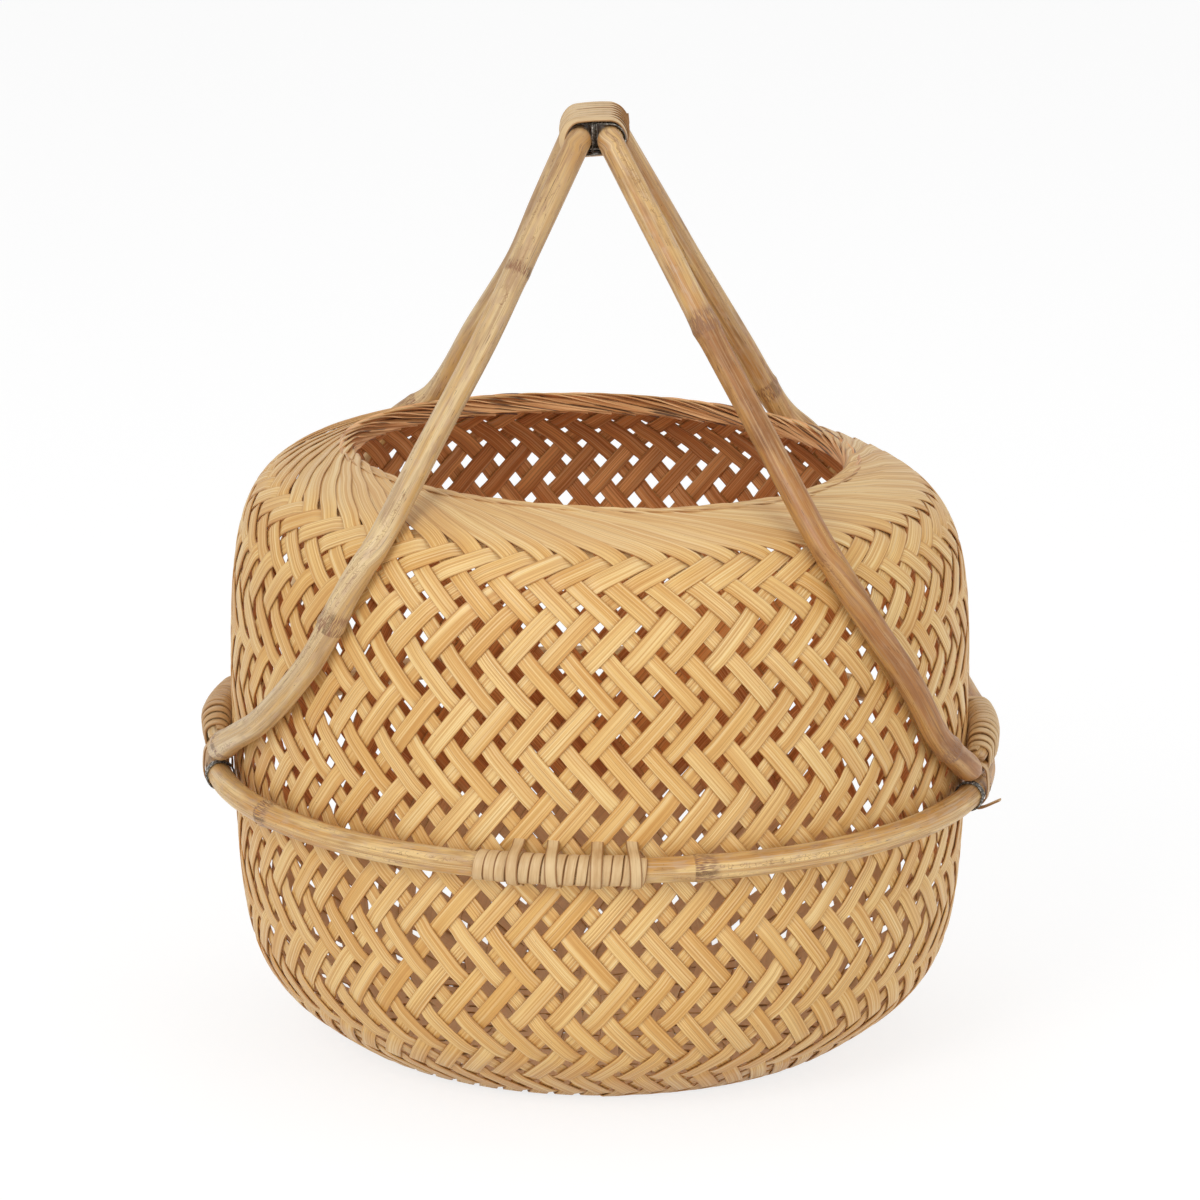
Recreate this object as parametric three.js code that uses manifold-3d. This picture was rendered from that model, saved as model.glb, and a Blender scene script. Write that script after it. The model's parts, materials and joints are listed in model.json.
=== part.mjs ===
// Woven bamboo basket: a round body with a cane hoop round the belly and two cane handles, bound together
// at the top into one carrying grip. Millimetres, +Z up, X from side to side, -Y the front. The origin is
// the middle of the base, on the floor.
import * as THREE from "three";
import { mergeVertices } from "three/addons/utils/BufferGeometryUtils.js";
import Module from "manifold-3d";

// Body sizes, measured on its outer face
const baseRadius = 132.6;
const heelReach = 64.7; // how far out, and how far up, the first curve of the wall is drawn
const heelRise = 40.9;
const bellyRadius = 200.4;
const bellyHeight = 200;
const lowWallTuck = 3.8; // how far in, and how far down, the wall leaves the belly towards the base
const lowWallDrop = 154.7;
const bellyRise = 91; // how far up the wall stays steep above the belly
const collarReach = 54.6; // how far out, and how far down, the collar is drawn from the mouth
const collarDrop = 12.5;
const mouthRadius = 138.6;
const mouthHeight = 324;
const mouthLean = 0.035; // the mouth's slope across X, so that its left side is the higher one
const weaveThickness = 2.4; // two splints and their waves

// Openings of the weave, drawn fewer and larger than the splints leave them
const openingRows = 5;
const openingWidth = 13;
const openingHeight = 42;
const closedHeel = 38; // along the wall from the base's edge to the first row of openings
const closedCollar = 76; // and from the last row to the mouth's edge

// Rim border
const rimHeight = 11.5;
const rimThickness = 3.8;
const rimInset = 3.6; // how far its lower edge stands in from its upper one

// Belt hoop
const hoopCane = 13.5; // diameter
const hoopHeight = 151;
const hoopSideSlope = 0.0097;
const hoopFrontSlope = 0.0116;
const hoopRoom = 2.6; // between the hoop and the weave
const scarfLength = 70;
const scarfPlace = -21.5; // along the front from the middle
const scarfGap = 0.5;

// Handles
const handleCane = 14; // diameter
const gripHeight = 498; // of the grips' middle line
const gripEndRoom = 2; // from the lashing's ends to the grips' bends
const legRoom = 0.9; // between the legs and the weave at the shoulder
const gripGap = 3; // between the two grips
const gripShift = -3; // of the two grips to the left
const bendStraight = 18; // from a grip's end down its leg, the stretch that bends
const tongueWidth = 10;
const tongueThickness = 5;
const leftFrontBow = 3; // how far each leg bows on its way from the shoulder to the grip
const leftBackBow = 6.5;
const rightFrontBow = 1;
const rightBackBow = 1;

// Bindings
const peelThickness = 1;
const beltTurns = 14.5;
const beltPeel = 5.2; // width
const tieWidth = 6.5;
const tieRise = 4.2; // how far above the hoop a tie enters the weave
const tiePlaces = [-45.2, -24.1, -2.6, 18.5]; // along the front from the middle
const sideTurns = 13;
const sidePeel = 4.9;
const strapWidth = 5.6;
const strapSlant = 5; // how far the strap moves towards the front on its way down
const topTurns = 7;
const topPeel = 5.9;
const wireThickness = 1.2;
const footWireThickness = 1;
const turnGap = 0.7; // between one turn of a binding and the next
const seatGap = 0.35; // between pieces that touch

// Routes of the handle legs from the crook up the wall to the shoulder: the angle round the body from the
// side, towards the back, in degrees, and the share of the way from the crook up to the mouth
const leftRoute = {
  side: -1,
  crook: -11.1,
  tongueEnd: 6,
  front: [[-28.8, 0.186], [-37.7, 0.34], [-44.6, 0.506], [-49.7, 0.71], [-52.6, 0.835]],
  back: [[23.5, 0.09], [29.5, 0.19], [37.7, 0.344], [44.6, 0.511], [51, 0.75], [58.7, 0.916]],
  lap: [-5.9, 17.5],
  frontBow: leftFrontBow,
  backBow: leftBackBow,
};
const rightRoute = {
  side: 1,
  crook: -18.7,
  tongueEnd: 2,
  front: [[-27.5, 0.12], [-32.7, 0.22], [-38.7, 0.41], [-45.4, 0.61], [-50.3, 0.79], [-51.6, 0.885]],
  back: [[19, 0.08], [27, 0.177], [37, 0.351], [45, 0.538], [50.6, 0.757], [55.7, 0.906]],
  lap: [-13.5, 12],
  frontBow: rightFrontBow,
  backBow: rightBackBow,
};

// Fineness of the solids
const bodySegments = 48; // two to each opening
const heelSteps = 3;
const collarSteps = 5;
const caneSides = 8;
const hoopSegments = 84;
const turnSteps = 16;
const arcSteps = 7; // of a turn round two canes, at each side
const arcTurnSteps = 2 * arcSteps + 2;

const hoopRadiusOfCane = hoopCane / 2;
const legRadius = handleCane / 2;
const flatRoom = 0.3; // what the flat steps of a round solid take of a gap
const bindingGap = peelThickness + 2 * seatGap + flatRoom; // room for one binding between two pieces
const radians = THREE.MathUtils.degToRad;

const object = new THREE.Group();

function material(color, roughness, metalness = 0) {
  return new THREE.MeshStandardMaterial({ color, roughness, metalness });
}
const splint = material("#d9b577", 0.6);
const rimSplint = material("#c99a5c", 0.6);
const cane = material("#bd8f52", 0.45);
const peel = material("#d8b384", 0.5);
const wire = material("#3a3735", 0.5, 0.8);

function addPiece(name, geometry, look) {
  const mesh = new THREE.Mesh(geometry, look);
  mesh.name = name;
  object.add(mesh);
}

// The outer face of the body, from the base to the belly and from the belly to the mouth
const lowerWall = new THREE.CubicBezierCurve(
  new THREE.Vector2(baseRadius, 0),
  new THREE.Vector2(baseRadius + heelReach, heelRise),
  new THREE.Vector2(bellyRadius - lowWallTuck, bellyHeight - lowWallDrop),
  new THREE.Vector2(bellyRadius, bellyHeight),
);
const upperWall = new THREE.CubicBezierCurve(
  new THREE.Vector2(bellyRadius, bellyHeight),
  new THREE.Vector2(bellyRadius, bellyHeight + bellyRise),
  new THREE.Vector2(mouthRadius + collarReach, mouthHeight - collarDrop),
  new THREE.Vector2(mouthRadius, mouthHeight),
);

// A point beside the curve, gap mm out from it, as radius and height
function beside(curve, t, gap) {
  const point = curve.getPoint(t);
  const along = curve.getTangent(t);
  return new THREE.Vector2(point.x + along.y * gap, point.y - along.x * gap);
}

// The same at a height on the wall
function outside(height, gap) {
  const curve = height < bellyHeight ? lowerWall : upperWall;
  let low = 0;
  let high = 1;
  for (let i = 0; i < 40; i++) {
    const middle = (low + high) / 2;
    if (curve.getPoint(middle).y < height) low = middle;
    else high = middle;
  }
  return beside(curve, low, gap);
}

// How far the leaning mouth lifts or lowers a point at x, for a height on the body
function leanAt(x, height) {
  const share = THREE.MathUtils.smoothstep(height, bellyHeight, mouthHeight - collarDrop);
  return -x * mouthLean * share;
}

function hoopHeightAt(x, y) {
  return hoopHeight - x * hoopSideSlope + y * hoopFrontSlope;
}

// A ring of revolution about Z from a closed outline of radius and height points, leaned with the mouth
function revolve(outline) {
  const geometry = new THREE.LatheGeometry(outline, bodySegments);
  geometry.rotateX(Math.PI / 2);
  const place = geometry.attributes.position;
  for (let i = 0; i < place.count; i++) {
    place.setZ(i, place.getZ(i) + leanAt(place.getX(i), place.getZ(i)));
  }
  return geometry;
}

// A closed solid through rings of points, each ring with the same number of points
function sweep(rings) {
  const sides = rings[0].length;
  const points = rings.flat();
  const faces = [];
  for (let i = 0; i + 1 < rings.length; i++) {
    for (let j = 0; j < sides; j++) {
      const a = i * sides + j;
      const b = i * sides + ((j + 1) % sides);
      faces.push(a, b, b + sides, a, b + sides, a + sides);
    }
  }
  const last = (rings.length - 1) * sides;
  for (let j = 1; j + 1 < sides; j++) {
    faces.push(0, j + 1, j, last, last + j, last + j + 1);
  }
  let volume = 0;
  for (let i = 0; i < faces.length; i += 3) {
    const [a, b, c] = [points[faces[i]], points[faces[i + 1]], points[faces[i + 2]]];
    volume += a.dot(b.clone().cross(c));
  }
  if (volume < 0) faces.reverse();
  const geometry = new THREE.BufferGeometry();
  geometry.setFromPoints(points);
  geometry.setIndex(faces);
  return geometry;
}

// One ring of a flat strip's section round a centre
function stripSection(centre, wide, thick, halfWidth, halfThickness) {
  const corners = [[1, 1], [-1, 1], [-1, -1], [1, -1]];
  return corners.map(([x, y]) =>
    centre
      .clone()
      .addScaledVector(wide, x * halfWidth)
      .addScaledVector(thick, y * halfThickness),
  );
}

// One ring of an oval section round a centre
function section(centre, wide, thick, halfWidth, halfThickness, sides) {
  const ring = [];
  for (let j = 0; j < sides; j++) {
    const turn = (2 * Math.PI * j) / sides;
    const point = centre.clone();
    point.addScaledVector(wide, halfWidth * Math.cos(turn));
    point.addScaledVector(thick, halfThickness * Math.sin(turn));
    ring.push(point);
  }
  return ring;
}

function routeThrough(knots) {
  return new THREE.CatmullRomCurve3(knots.map((knot) => knot.place), false, "centripetal");
}

// A cane through knots that hold a place and the section's two half sizes
function caneThrough(knots, stepsBetween) {
  const route = routeThrough(knots);
  const count = (knots.length - 1) * stepsBetween;
  const upright = new THREE.Vector3(0, 0, 1);
  const rings = [];
  for (let i = 0; i <= count; i++) {
    const t = i / count;
    const from = Math.min(Math.floor(t * (knots.length - 1)), knots.length - 2);
    const share = t * (knots.length - 1) - from;
    const along = route.getTangent(t);
    const wide = along.clone().cross(upright).normalize();
    const thick = wide.clone().cross(along).normalize();
    const halfWidth = THREE.MathUtils.lerp(knots[from].wide, knots[from + 1].wide, share);
    const halfThickness = THREE.MathUtils.lerp(knots[from].thick, knots[from + 1].thick, share);
    rings.push(section(route.getPoint(t), wide, thick, halfWidth, halfThickness, caneSides));
  }
  return sweep(rings);
}

// The least gap between stretches of one winding that lie half a turn or more apart, measured on points
function leastGap(rings, steps) {
  let least = Infinity;
  for (let i = 0; i < rings.length; i++) {
    for (let k = i + steps / 2; k < Math.min(rings.length, i + 1.5 * steps); k++) {
      for (const a of rings[i]) {
        for (const b of rings[k]) least = Math.min(least, a.distanceTo(b));
      }
    }
  }
  return least;
}

// One unbroken strip or wire wound round a core. frameAt(s) gives the core's middle and its out, up and
// along directions at the share s of the winding's length; outlineAt(s, turn) gives the wound line's two
// coordinates, out and up. The last end can run on as a straight tail
function wind(name, frameAt, outlineAt, size) {
  const { turns, steps, width, thickness, start = 0, tail = 0 } = size;
  const count = Math.round(turns * steps);
  const nudge = 1e-3;
  const rings = [];
  for (let i = 0; i <= count; i++) {
    const s = i / count;
    const turn = start + (2 * Math.PI * i) / steps;
    const { middle, out, up, along } = frameAt(s);
    const [x, y] = outlineAt(s, turn);
    const [aheadX, aheadY] = outlineAt(s, turn + nudge);
    const [behindX, behindY] = outlineAt(s, turn - nudge);
    const run = new THREE.Vector2(aheadX - behindX, aheadY - behindY).normalize();
    const place = middle.clone().addScaledVector(out, x).addScaledVector(up, y);
    const thick = out.clone().multiplyScalar(run.y).addScaledVector(up, -run.x);
    rings.push(stripSection(place, along, thick, width / 2, thickness / 2));
    if (i === count && tail > 0) {
      const away = out.clone().multiplyScalar(run.x).addScaledVector(up, run.y);
      rings.push(rings[count].map((point) => point.clone().addScaledVector(away, tail)));
    }
  }
  console.log(name + " least gap " + leastGap(rings, steps).toFixed(2) + " mm");
  return sweep(rings);
}

// A flat strip along a line of [out, up] points from a frame's middle, slanted along by slant mm
function strip({ middle, out, up, along }, line, width, slant = 0) {
  const rings = line.map(([x, y], i) => {
    const before = line[Math.max(i - 1, 0)];
    const after = line[Math.min(i + 1, line.length - 1)];
    const run = new THREE.Vector2(after[0] - before[0], after[1] - before[1]).normalize();
    const centre = middle.clone().addScaledVector(out, x).addScaledVector(up, y);
    centre.addScaledVector(along, (slant * i) / (line.length - 1));
    const thick = out.clone().multiplyScalar(run.y).addScaledVector(up, -run.x);
    return stripSection(centre, along, thick, width / 2, peelThickness / 2);
  });
  return sweep(rings);
}

// Flat steps cut the corners of a round turn: a line this much longer from the middle clears what is inside
function clearing(radius, steps) {
  return radius / Math.cos(Math.PI / steps);
}

function circle(radius, steps) {
  const reach = clearing(radius, steps);
  return (s, turn) => [reach * Math.cos(turn), reach * Math.sin(turn)];
}

// A closed line round two circles of one radius, whose middles lie half mm to each side of the centre. Each
// side's half circle takes arcSteps of a turn's steps, and each straight one step
function roundTwo(half, radius, turn) {
  const reach = clearing(radius, 2 * arcSteps);
  const lap = 2 * Math.PI;
  const step = ((((turn % lap) + lap) % lap) / lap) * arcTurnSteps;
  const quarter = Math.PI / 2;
  const sideStep = step % (arcSteps + 1);
  const mirror = step < arcSteps + 1 ? 1 : -1;
  if (sideStep > arcSteps) {
    return [mirror * half * (1 - 2 * (sideStep - arcSteps)), mirror * reach];
  }
  const angle = -quarter + (Math.PI * sideStep) / arcSteps;
  return [mirror * (half + reach * Math.cos(angle)), mirror * reach * Math.sin(angle)];
}

// Body

const lowerLength = lowerWall.getLength();
const upperLength = upperWall.getLength();
const wallLength = lowerLength + upperLength;

// A point of the wall at a run along its outer face from the base's edge, and in from it, on a column of the
// body's segments
function wallPoint(column, run, depth) {
  const curve = run < lowerLength ? lowerWall : upperWall;
  const share = run < lowerLength ? run / lowerLength : (run - lowerLength) / upperLength;
  const { x: radius, y: height } = beside(curve, curve.getUtoTmapping(Math.min(share, 1)), -depth);
  const angle = (2 * Math.PI * column) / bodySegments;
  const x = radius * Math.cos(angle);
  return new THREE.Vector3(x, radius * Math.sin(angle), height + leanAt(x, height));
}

// How many columns a width takes at a run along the wall
function columnsAcross(width, run) {
  const { x, y } = wallPoint(0, run, 0);
  return (width * bodySegments) / (2 * Math.PI * Math.hypot(x, y));
}

// The wall as a shell of two faces. Corners are named once by column and run, so that faces share them
const wallPoints = [];
const wallFaces = [];
const cornerNumbers = new Map();

function corner([column, run], depth) {
  const round = (column + bodySegments) % bodySegments;
  const name = [round, run, depth].join(" ");
  if (!cornerNumbers.has(name)) {
    cornerNumbers.set(name, wallPoints.length);
    wallPoints.push(wallPoint(round, run, depth));
  }
  return cornerNumbers.get(name);
}

// A triangle of the outer face and its copy on the inner face
function wallFace(a, b, c) {
  wallFaces.push(corner(a, 0), corner(b, 0), corner(c, 0));
  wallFaces.push(corner(c, weaveThickness), corner(b, weaveThickness), corner(a, weaveThickness));
}

// The edge through the weave's thickness along a line from a to b, with the weave on its right
function wallEdge(a, b) {
  wallFaces.push(corner(a, 0), corner(b, 0), corner(b, weaveThickness));
  wallFaces.push(corner(a, 0), corner(b, weaveThickness), corner(a, weaveThickness));
}

function closedCell(column, low, high) {
  wallFace([column, low], [column + 1, low], [column + 1, high]);
  wallFace([column, low], [column + 1, high], [column, high]);
}

// Two columns of a row with a diamond opening in their middle
function openCell(column, low, high) {
  const middle = (low + high) / 2;
  const reach = columnsAcross(openingWidth, middle) / 2;
  const ring = [
    [column - 1, low], [column, low], [column + 1, low],
    [column + 1, high], [column, high], [column - 1, high],
  ];
  const below = [column, middle - openingHeight / 2];
  const right = [column + reach, middle];
  const above = [column, middle + openingHeight / 2];
  const left = [column - reach, middle];
  wallFace(ring[0], ring[1], below);
  wallFace(ring[1], ring[2], below);
  wallFace(ring[2], right, below);
  wallFace(ring[2], ring[3], right);
  wallFace(ring[3], above, right);
  wallFace(ring[3], ring[4], above);
  wallFace(ring[4], ring[5], above);
  wallFace(ring[5], left, above);
  wallFace(ring[5], ring[0], left);
  wallFace(ring[0], below, left);
  wallEdge(below, right);
  wallEdge(right, above);
  wallEdge(above, left);
  wallEdge(left, below);
}

const rowPitch = (wallLength - closedHeel - closedCollar) / openingRows;
const rowRuns = [];
for (let i = 0; i < heelSteps; i++) rowRuns.push((closedHeel * i) / heelSteps);
for (let i = 0; i < openingRows; i++) rowRuns.push(closedHeel + rowPitch * i);
for (let i = collarSteps; i >= 0; i--) rowRuns.push(wallLength - (closedCollar * i) / collarSteps);

for (let row = 0; row + 1 < rowRuns.length; row++) {
  const isOpen = row >= heelSteps && row < heelSteps + openingRows;
  for (let column = 0; column < bodySegments; column++) {
    if (!isOpen) closedCell(column, rowRuns[row], rowRuns[row + 1]);
    else if ((row + column) % 2 === 0) openCell(column, rowRuns[row], rowRuns[row + 1]);
  }
}
for (let column = 0; column < bodySegments; column++) {
  wallEdge([column + 1, 0], [column, 0]);
  wallEdge([column, wallLength], [column + 1, wallLength]);
}
const wallShell = new THREE.BufferGeometry();
wallShell.setFromPoints(wallPoints);
wallShell.setIndex(wallFaces);
addPiece("woven_wall", wallShell, splint);

const wallFoot = beside(lowerWall, 0, -weaveThickness);
const baseOutline = [
  new THREE.Vector2(0, 0),
  new THREE.Vector2(baseRadius - seatGap, 0),
  new THREE.Vector2(wallFoot.x - seatGap, wallFoot.y),
  new THREE.Vector2(0, wallFoot.y),
];
addPiece("woven_base", revolve(baseOutline), splint);

const rimTop = beside(upperWall, 1, -weaveThickness).x - seatGap;
const rimOutline = [
  new THREE.Vector2(rimTop - rimInset, mouthHeight - rimHeight),
  new THREE.Vector2(rimTop, mouthHeight - rimThickness / 2),
  new THREE.Vector2(rimTop - rimThickness / 3, mouthHeight),
  new THREE.Vector2(rimTop - rimThickness, mouthHeight - rimThickness / 3),
  new THREE.Vector2(rimTop - rimInset - rimThickness, mouthHeight - rimHeight + rimThickness / 3),
  new THREE.Vector2(rimTop - rimInset, mouthHeight - rimHeight),
];
addPiece("rim_border", revolve(rimOutline), rimSplint);

// Belt hoop, with its two ends scarfed at the front

const hoopRadius = outside(hoopHeight, hoopRoom + hoopRadiusOfCane).x;

function hoopPoint(angle) {
  const x = hoopRadius * Math.cos(angle);
  const y = hoopRadius * Math.sin(angle);
  return new THREE.Vector3(x, y, hoopHeightAt(x, y));
}

const hoopRing = new THREE.TorusGeometry(hoopRadius, hoopRadiusOfCane, caneSides, hoopSegments);
const ringPlace = hoopRing.attributes.position;
for (let i = 0; i < ringPlace.count; i++) {
  ringPlace.setZ(i, ringPlace.getZ(i) + hoopHeightAt(ringPlace.getX(i), ringPlace.getY(i)));
}
const scarfMiddle = hoopPoint(-Math.PI / 2 + scarfPlace / hoopRadius);
const scarfCut = new THREE.BoxGeometry(1.5 * scarfLength, 2 * hoopCane, scarfGap);
scarfCut.rotateY(Math.atan2(hoopCane, scarfLength));
scarfCut.translate(scarfMiddle.x, scarfMiddle.y, scarfMiddle.z);

const wasm = await Module();
wasm.setup();

function toManifold(geometry) {
  const bare = geometry.clone();
  bare.deleteAttribute("normal");
  bare.deleteAttribute("uv");
  const merged = mergeVertices(bare, 1e-3);
  const vertProperties = merged.attributes.position.array;
  const triVerts = new Uint32Array(merged.index.array);
  return new wasm.Manifold(new wasm.Mesh({ numProp: 3, vertProperties, triVerts }));
}

function fromManifold(solid) {
  const mesh = solid.getMesh();
  const geometry = new THREE.BufferGeometry();
  geometry.setAttribute("position", new THREE.BufferAttribute(mesh.vertProperties, 3));
  geometry.setIndex(new THREE.BufferAttribute(mesh.triVerts, 1));
  return geometry;
}

addPiece("belt_hoop", fromManifold(toManifold(hoopRing).subtract(toManifold(scarfCut))), cane);

// Handles. Each is one cane: a tongue under its own other end, the crook, the front leg, the grip, the back
// leg and the lap over the tongue

const tongueFloor = hoopRadiusOfCane + bindingGap; // above the hoop's middle line
const crookRise = tongueFloor + legRadius;
const lapRise = crookRise + tongueThickness + seatGap;
const lapRadius = outside(hoopHeight + lapRise, bindingGap + legRadius).x;

// A point beside the hoop at an angle from the side, towards the back, and a height above its middle line
function overHoop(side, degrees, rise) {
  const x = side * lapRadius * Math.cos(radians(degrees));
  const y = lapRadius * Math.sin(radians(degrees));
  return new THREE.Vector3(x, y, hoopHeightAt(x, y) + rise);
}

function knot(place, wide = legRadius, thick = legRadius) {
  return { place, wide, thick };
}

// Knots on the wall from one (angle, share) station to the next, the cane's side just clear of the weave.
// They start over the hoop at an angle, rise mm above its middle line
function legOnWall(side, startAngle, rise, stations, samples) {
  const crookHeight = overHoop(side, startAngle, crookRise).z;
  const startShare = (rise - crookRise) / (mouthHeight - crookHeight);
  const line = new THREE.SplineCurve([
    new THREE.Vector2(startAngle, startShare),
    ...stations.map(([angle, share]) => new THREE.Vector2(angle, share)),
  ]);
  const knots = [];
  for (let i = 1; i <= samples; i++) {
    const { x: angle, y: share } = line.getPoint(i / samples);
    const height = THREE.MathUtils.lerp(crookHeight, mouthHeight, share);
    const gap = THREE.MathUtils.lerp(bindingGap, legRoom, i / samples);
    const beyond = outside(height, gap + legRadius);
    const x = side * beyond.x * Math.cos(radians(angle));
    const y = beyond.x * Math.sin(radians(angle));
    knots.push(knot(new THREE.Vector3(x, y, beyond.y + leanAt(x, height))));
  }
  return knots;
}

// Knots from the shoulder to the grip's end, bowed towards the middle by bow mm
function legInAir(shoulder, gripEnd, side, bow) {
  const middle = shoulder.clone().lerp(gripEnd, 0.5);
  middle.x -= side * bow;
  const bend = gripEnd.clone().sub(middle).setLength(bendStraight);
  const beforeBend = gripEnd.clone().sub(bend);
  return [
    knot(shoulder.clone().lerp(middle, 0.5)),
    knot(middle),
    knot(middle.clone().lerp(beforeBend, 0.5)),
    knot(beforeBend),
    knot(gripEnd.clone().addScaledVector(bend, -0.35)),
  ];
}

const tongueStep = 2.8; // degrees between the tongue's knots
const crookTaper = 2.6; // degrees from the full cane to the tongue
const legSamples = 9;

const topTravel = topTurns * (topPeel + turnGap);
const gripLength = topTravel + topPeel + 2 * gripEndRoom;

// The handle's knots from the tongue's end to the lap's end
function handleKnots(route) {
  const { side, crook, tongueEnd, front, back, lap, frontBow, backBow } = route;
  const gripX = gripShift + side * (gripGap / 2 + legRadius);
  const gripFront = new THREE.Vector3(gripX, -gripLength / 2, gripHeight);
  const gripBack = new THREE.Vector3(gripX, gripLength / 2, gripHeight);
  const knots = [];
  for (let angle = tongueEnd; angle > crook + crookTaper; angle -= tongueStep) {
    const place = overHoop(side, angle, tongueFloor + tongueThickness / 2);
    knots.push(knot(place, tongueWidth / 2, tongueThickness / 2));
  }
  for (const share of [0, 0.5, 1]) {
    const thick = THREE.MathUtils.lerp(tongueThickness / 2, legRadius, share);
    const wide = THREE.MathUtils.lerp(tongueWidth / 2, legRadius, share);
    const angle = crook + crookTaper * (1 - share);
    knots.push(knot(overHoop(side, angle, tongueFloor + thick), wide, thick));
  }
  const frontKnots = legOnWall(side, crook, crookRise, front, legSamples);
  const backKnots = legOnWall(side, lap[1], lapRise, back, legSamples).reverse();
  const frontShoulder = frontKnots.at(-1).place;
  const backShoulder = backKnots[0].place;
  knots.push(...frontKnots);
  knots.push(...legInAir(frontShoulder, gripFront, side, frontBow));
  for (const share of [0, 0.06, 0.5, 0.94, 1]) knots.push(knot(gripFront.clone().lerp(gripBack, share)));
  knots.push(...legInAir(backShoulder, gripBack, side, backBow).reverse());
  knots.push(...backKnots);
  const lapKnots = 8;
  for (let i = 0; i <= lapKnots; i++) {
    const angle = THREE.MathUtils.lerp(lap[1], lap[0], i / lapKnots);
    knots.push(knot(overHoop(side, angle, lapRise)));
  }
  return knots;
}

const leftKnots = handleKnots(leftRoute);
const rightKnots = handleKnots(rightRoute);
addPiece("left_handle_cane", caneThrough(leftKnots, 2), cane);
addPiece("right_handle_cane", caneThrough(rightKnots, 2), cane);

// Belt lashing round the hoop's scarf, and the four ties that hold it to the weave

const upright = new THREE.Vector3(0, 0, 1);

// The hoop's middle, out, up and along directions at a distance along the front from the middle
function hoopFrame(distance) {
  const angle = -Math.PI / 2 + distance / hoopRadius;
  const out = new THREE.Vector3(Math.cos(angle), Math.sin(angle), 0);
  const along = new THREE.Vector3(-Math.sin(angle), Math.cos(angle), 0);
  return { middle: hoopPoint(angle), out, up: upright, along };
}

const beltTravel = beltTurns * (beltPeel + turnGap);
const beltLine = hoopRadiusOfCane + seatGap + peelThickness / 2;
const beltStart = radians(-112.5); // the first turn starts under the hoop
addPiece(
  "belt_lashing",
  wind(
    "belt_lashing",
    (s) => hoopFrame(scarfPlace + (s - 0.5) * beltTravel),
    circle(beltLine, turnSteps),
    { turns: beltTurns, steps: turnSteps, width: beltPeel, thickness: peelThickness, start: beltStart },
  ),
  peel,
);

const tieSteps = 16;
const tieLine = clearing(beltLine, turnSteps) + peelThickness + seatGap;

// A tie comes out of the weave above the hoop, passes over the lashing and goes in again below
function tie(place) {
  const frame = hoopFrame(place);
  const reach = clearing(tieLine, tieSteps);
  const entry = tieLine + tieRise;
  const wallAt = (rise) => outside(frame.middle.z + rise, seatGap + flatRoom).x - hoopRadius;
  const line = [[wallAt(-entry), -entry], [wallAt(-entry) * 0.5, -reach - tieRise * 0.3]];
  for (let i = -3.5; i <= 3.5; i++) {
    const turn = (2 * Math.PI * i) / tieSteps;
    line.push([reach * Math.cos(turn), reach * Math.sin(turn)]);
  }
  line.push([wallAt(entry) * 0.5, reach + tieRise * 0.3], [wallAt(entry), entry]);
  return strip(frame, line, tieWidth);
}

tiePlaces.forEach((place, i) => addPiece("belt_tie_" + (i + 1), tie(place), peel));

// Bindings at the foot of each handle

// The middle line over the hoop at an angle from the side, with its out, up and along directions
function sideFrame(side, degrees) {
  const out = new THREE.Vector3(side * Math.cos(radians(degrees)), Math.sin(radians(degrees)), 0);
  const along = new THREE.Vector3(-out.y, out.x, 0).multiplyScalar(side);
  const x = hoopRadius * out.x;
  const y = hoopRadius * out.y;
  return { middle: new THREE.Vector3(x, y, hoopHeightAt(x, y)), out, up: upright, along };
}

const strapPlace = 4; // degrees from the crook to the strap
const wirePlace = 1.2; // degrees from the crook to the foot wire
const footWireTurns = 3;
const lapRoom = 4; // from the lap's end to the middle of its lashing's first turn

// A lashing that follows the cane from its lap's end, and takes in the tongue below as far as that reaches
function sideLashing(name, route, knots, tail) {
  const line = routeThrough(knots);
  const whole = line.getLength();
  const travel = sideTurns * (sidePeel + turnGap);
  const reach = clearing(legRadius + seatGap + peelThickness / 2, turnSteps);
  const depth = tongueThickness + seatGap; // how far the tongue lowers the outline
  const closing = [1.5, 6]; // degrees beyond the tongue's end, in which the outline closes to the cane
  const shareAt = (s) => 1 - (lapRoom + s * travel) / whole;
  const frameAt = (s) => {
    const middle = line.getPointAt(shareAt(s));
    const along = line.getTangentAt(shareAt(s));
    const out = along.clone().cross(upright).setLength(-route.side);
    const up = out.clone().cross(along).multiplyScalar(-route.side);
    return { middle, out, up, along };
  };
  const outlineAt = (s, turn) => {
    const { x, y } = line.getPointAt(shareAt(s));
    const angle = THREE.MathUtils.radToDeg(Math.atan2(y, route.side * x));
    const drop = 1 - THREE.MathUtils.smoothstep(angle - route.tongueEnd, ...closing);
    const rise = reach * Math.sin(turn);
    const lower = drop * depth * THREE.MathUtils.smoothstep(-rise, 0, reach / 2);
    return [reach * Math.cos(turn), rise - lower];
  };
  const size = { turns: sideTurns, steps: turnSteps, width: sidePeel, thickness: peelThickness };
  return wind(name, frameAt, outlineAt, { ...size, start: Math.PI / 2, tail });
}

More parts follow.
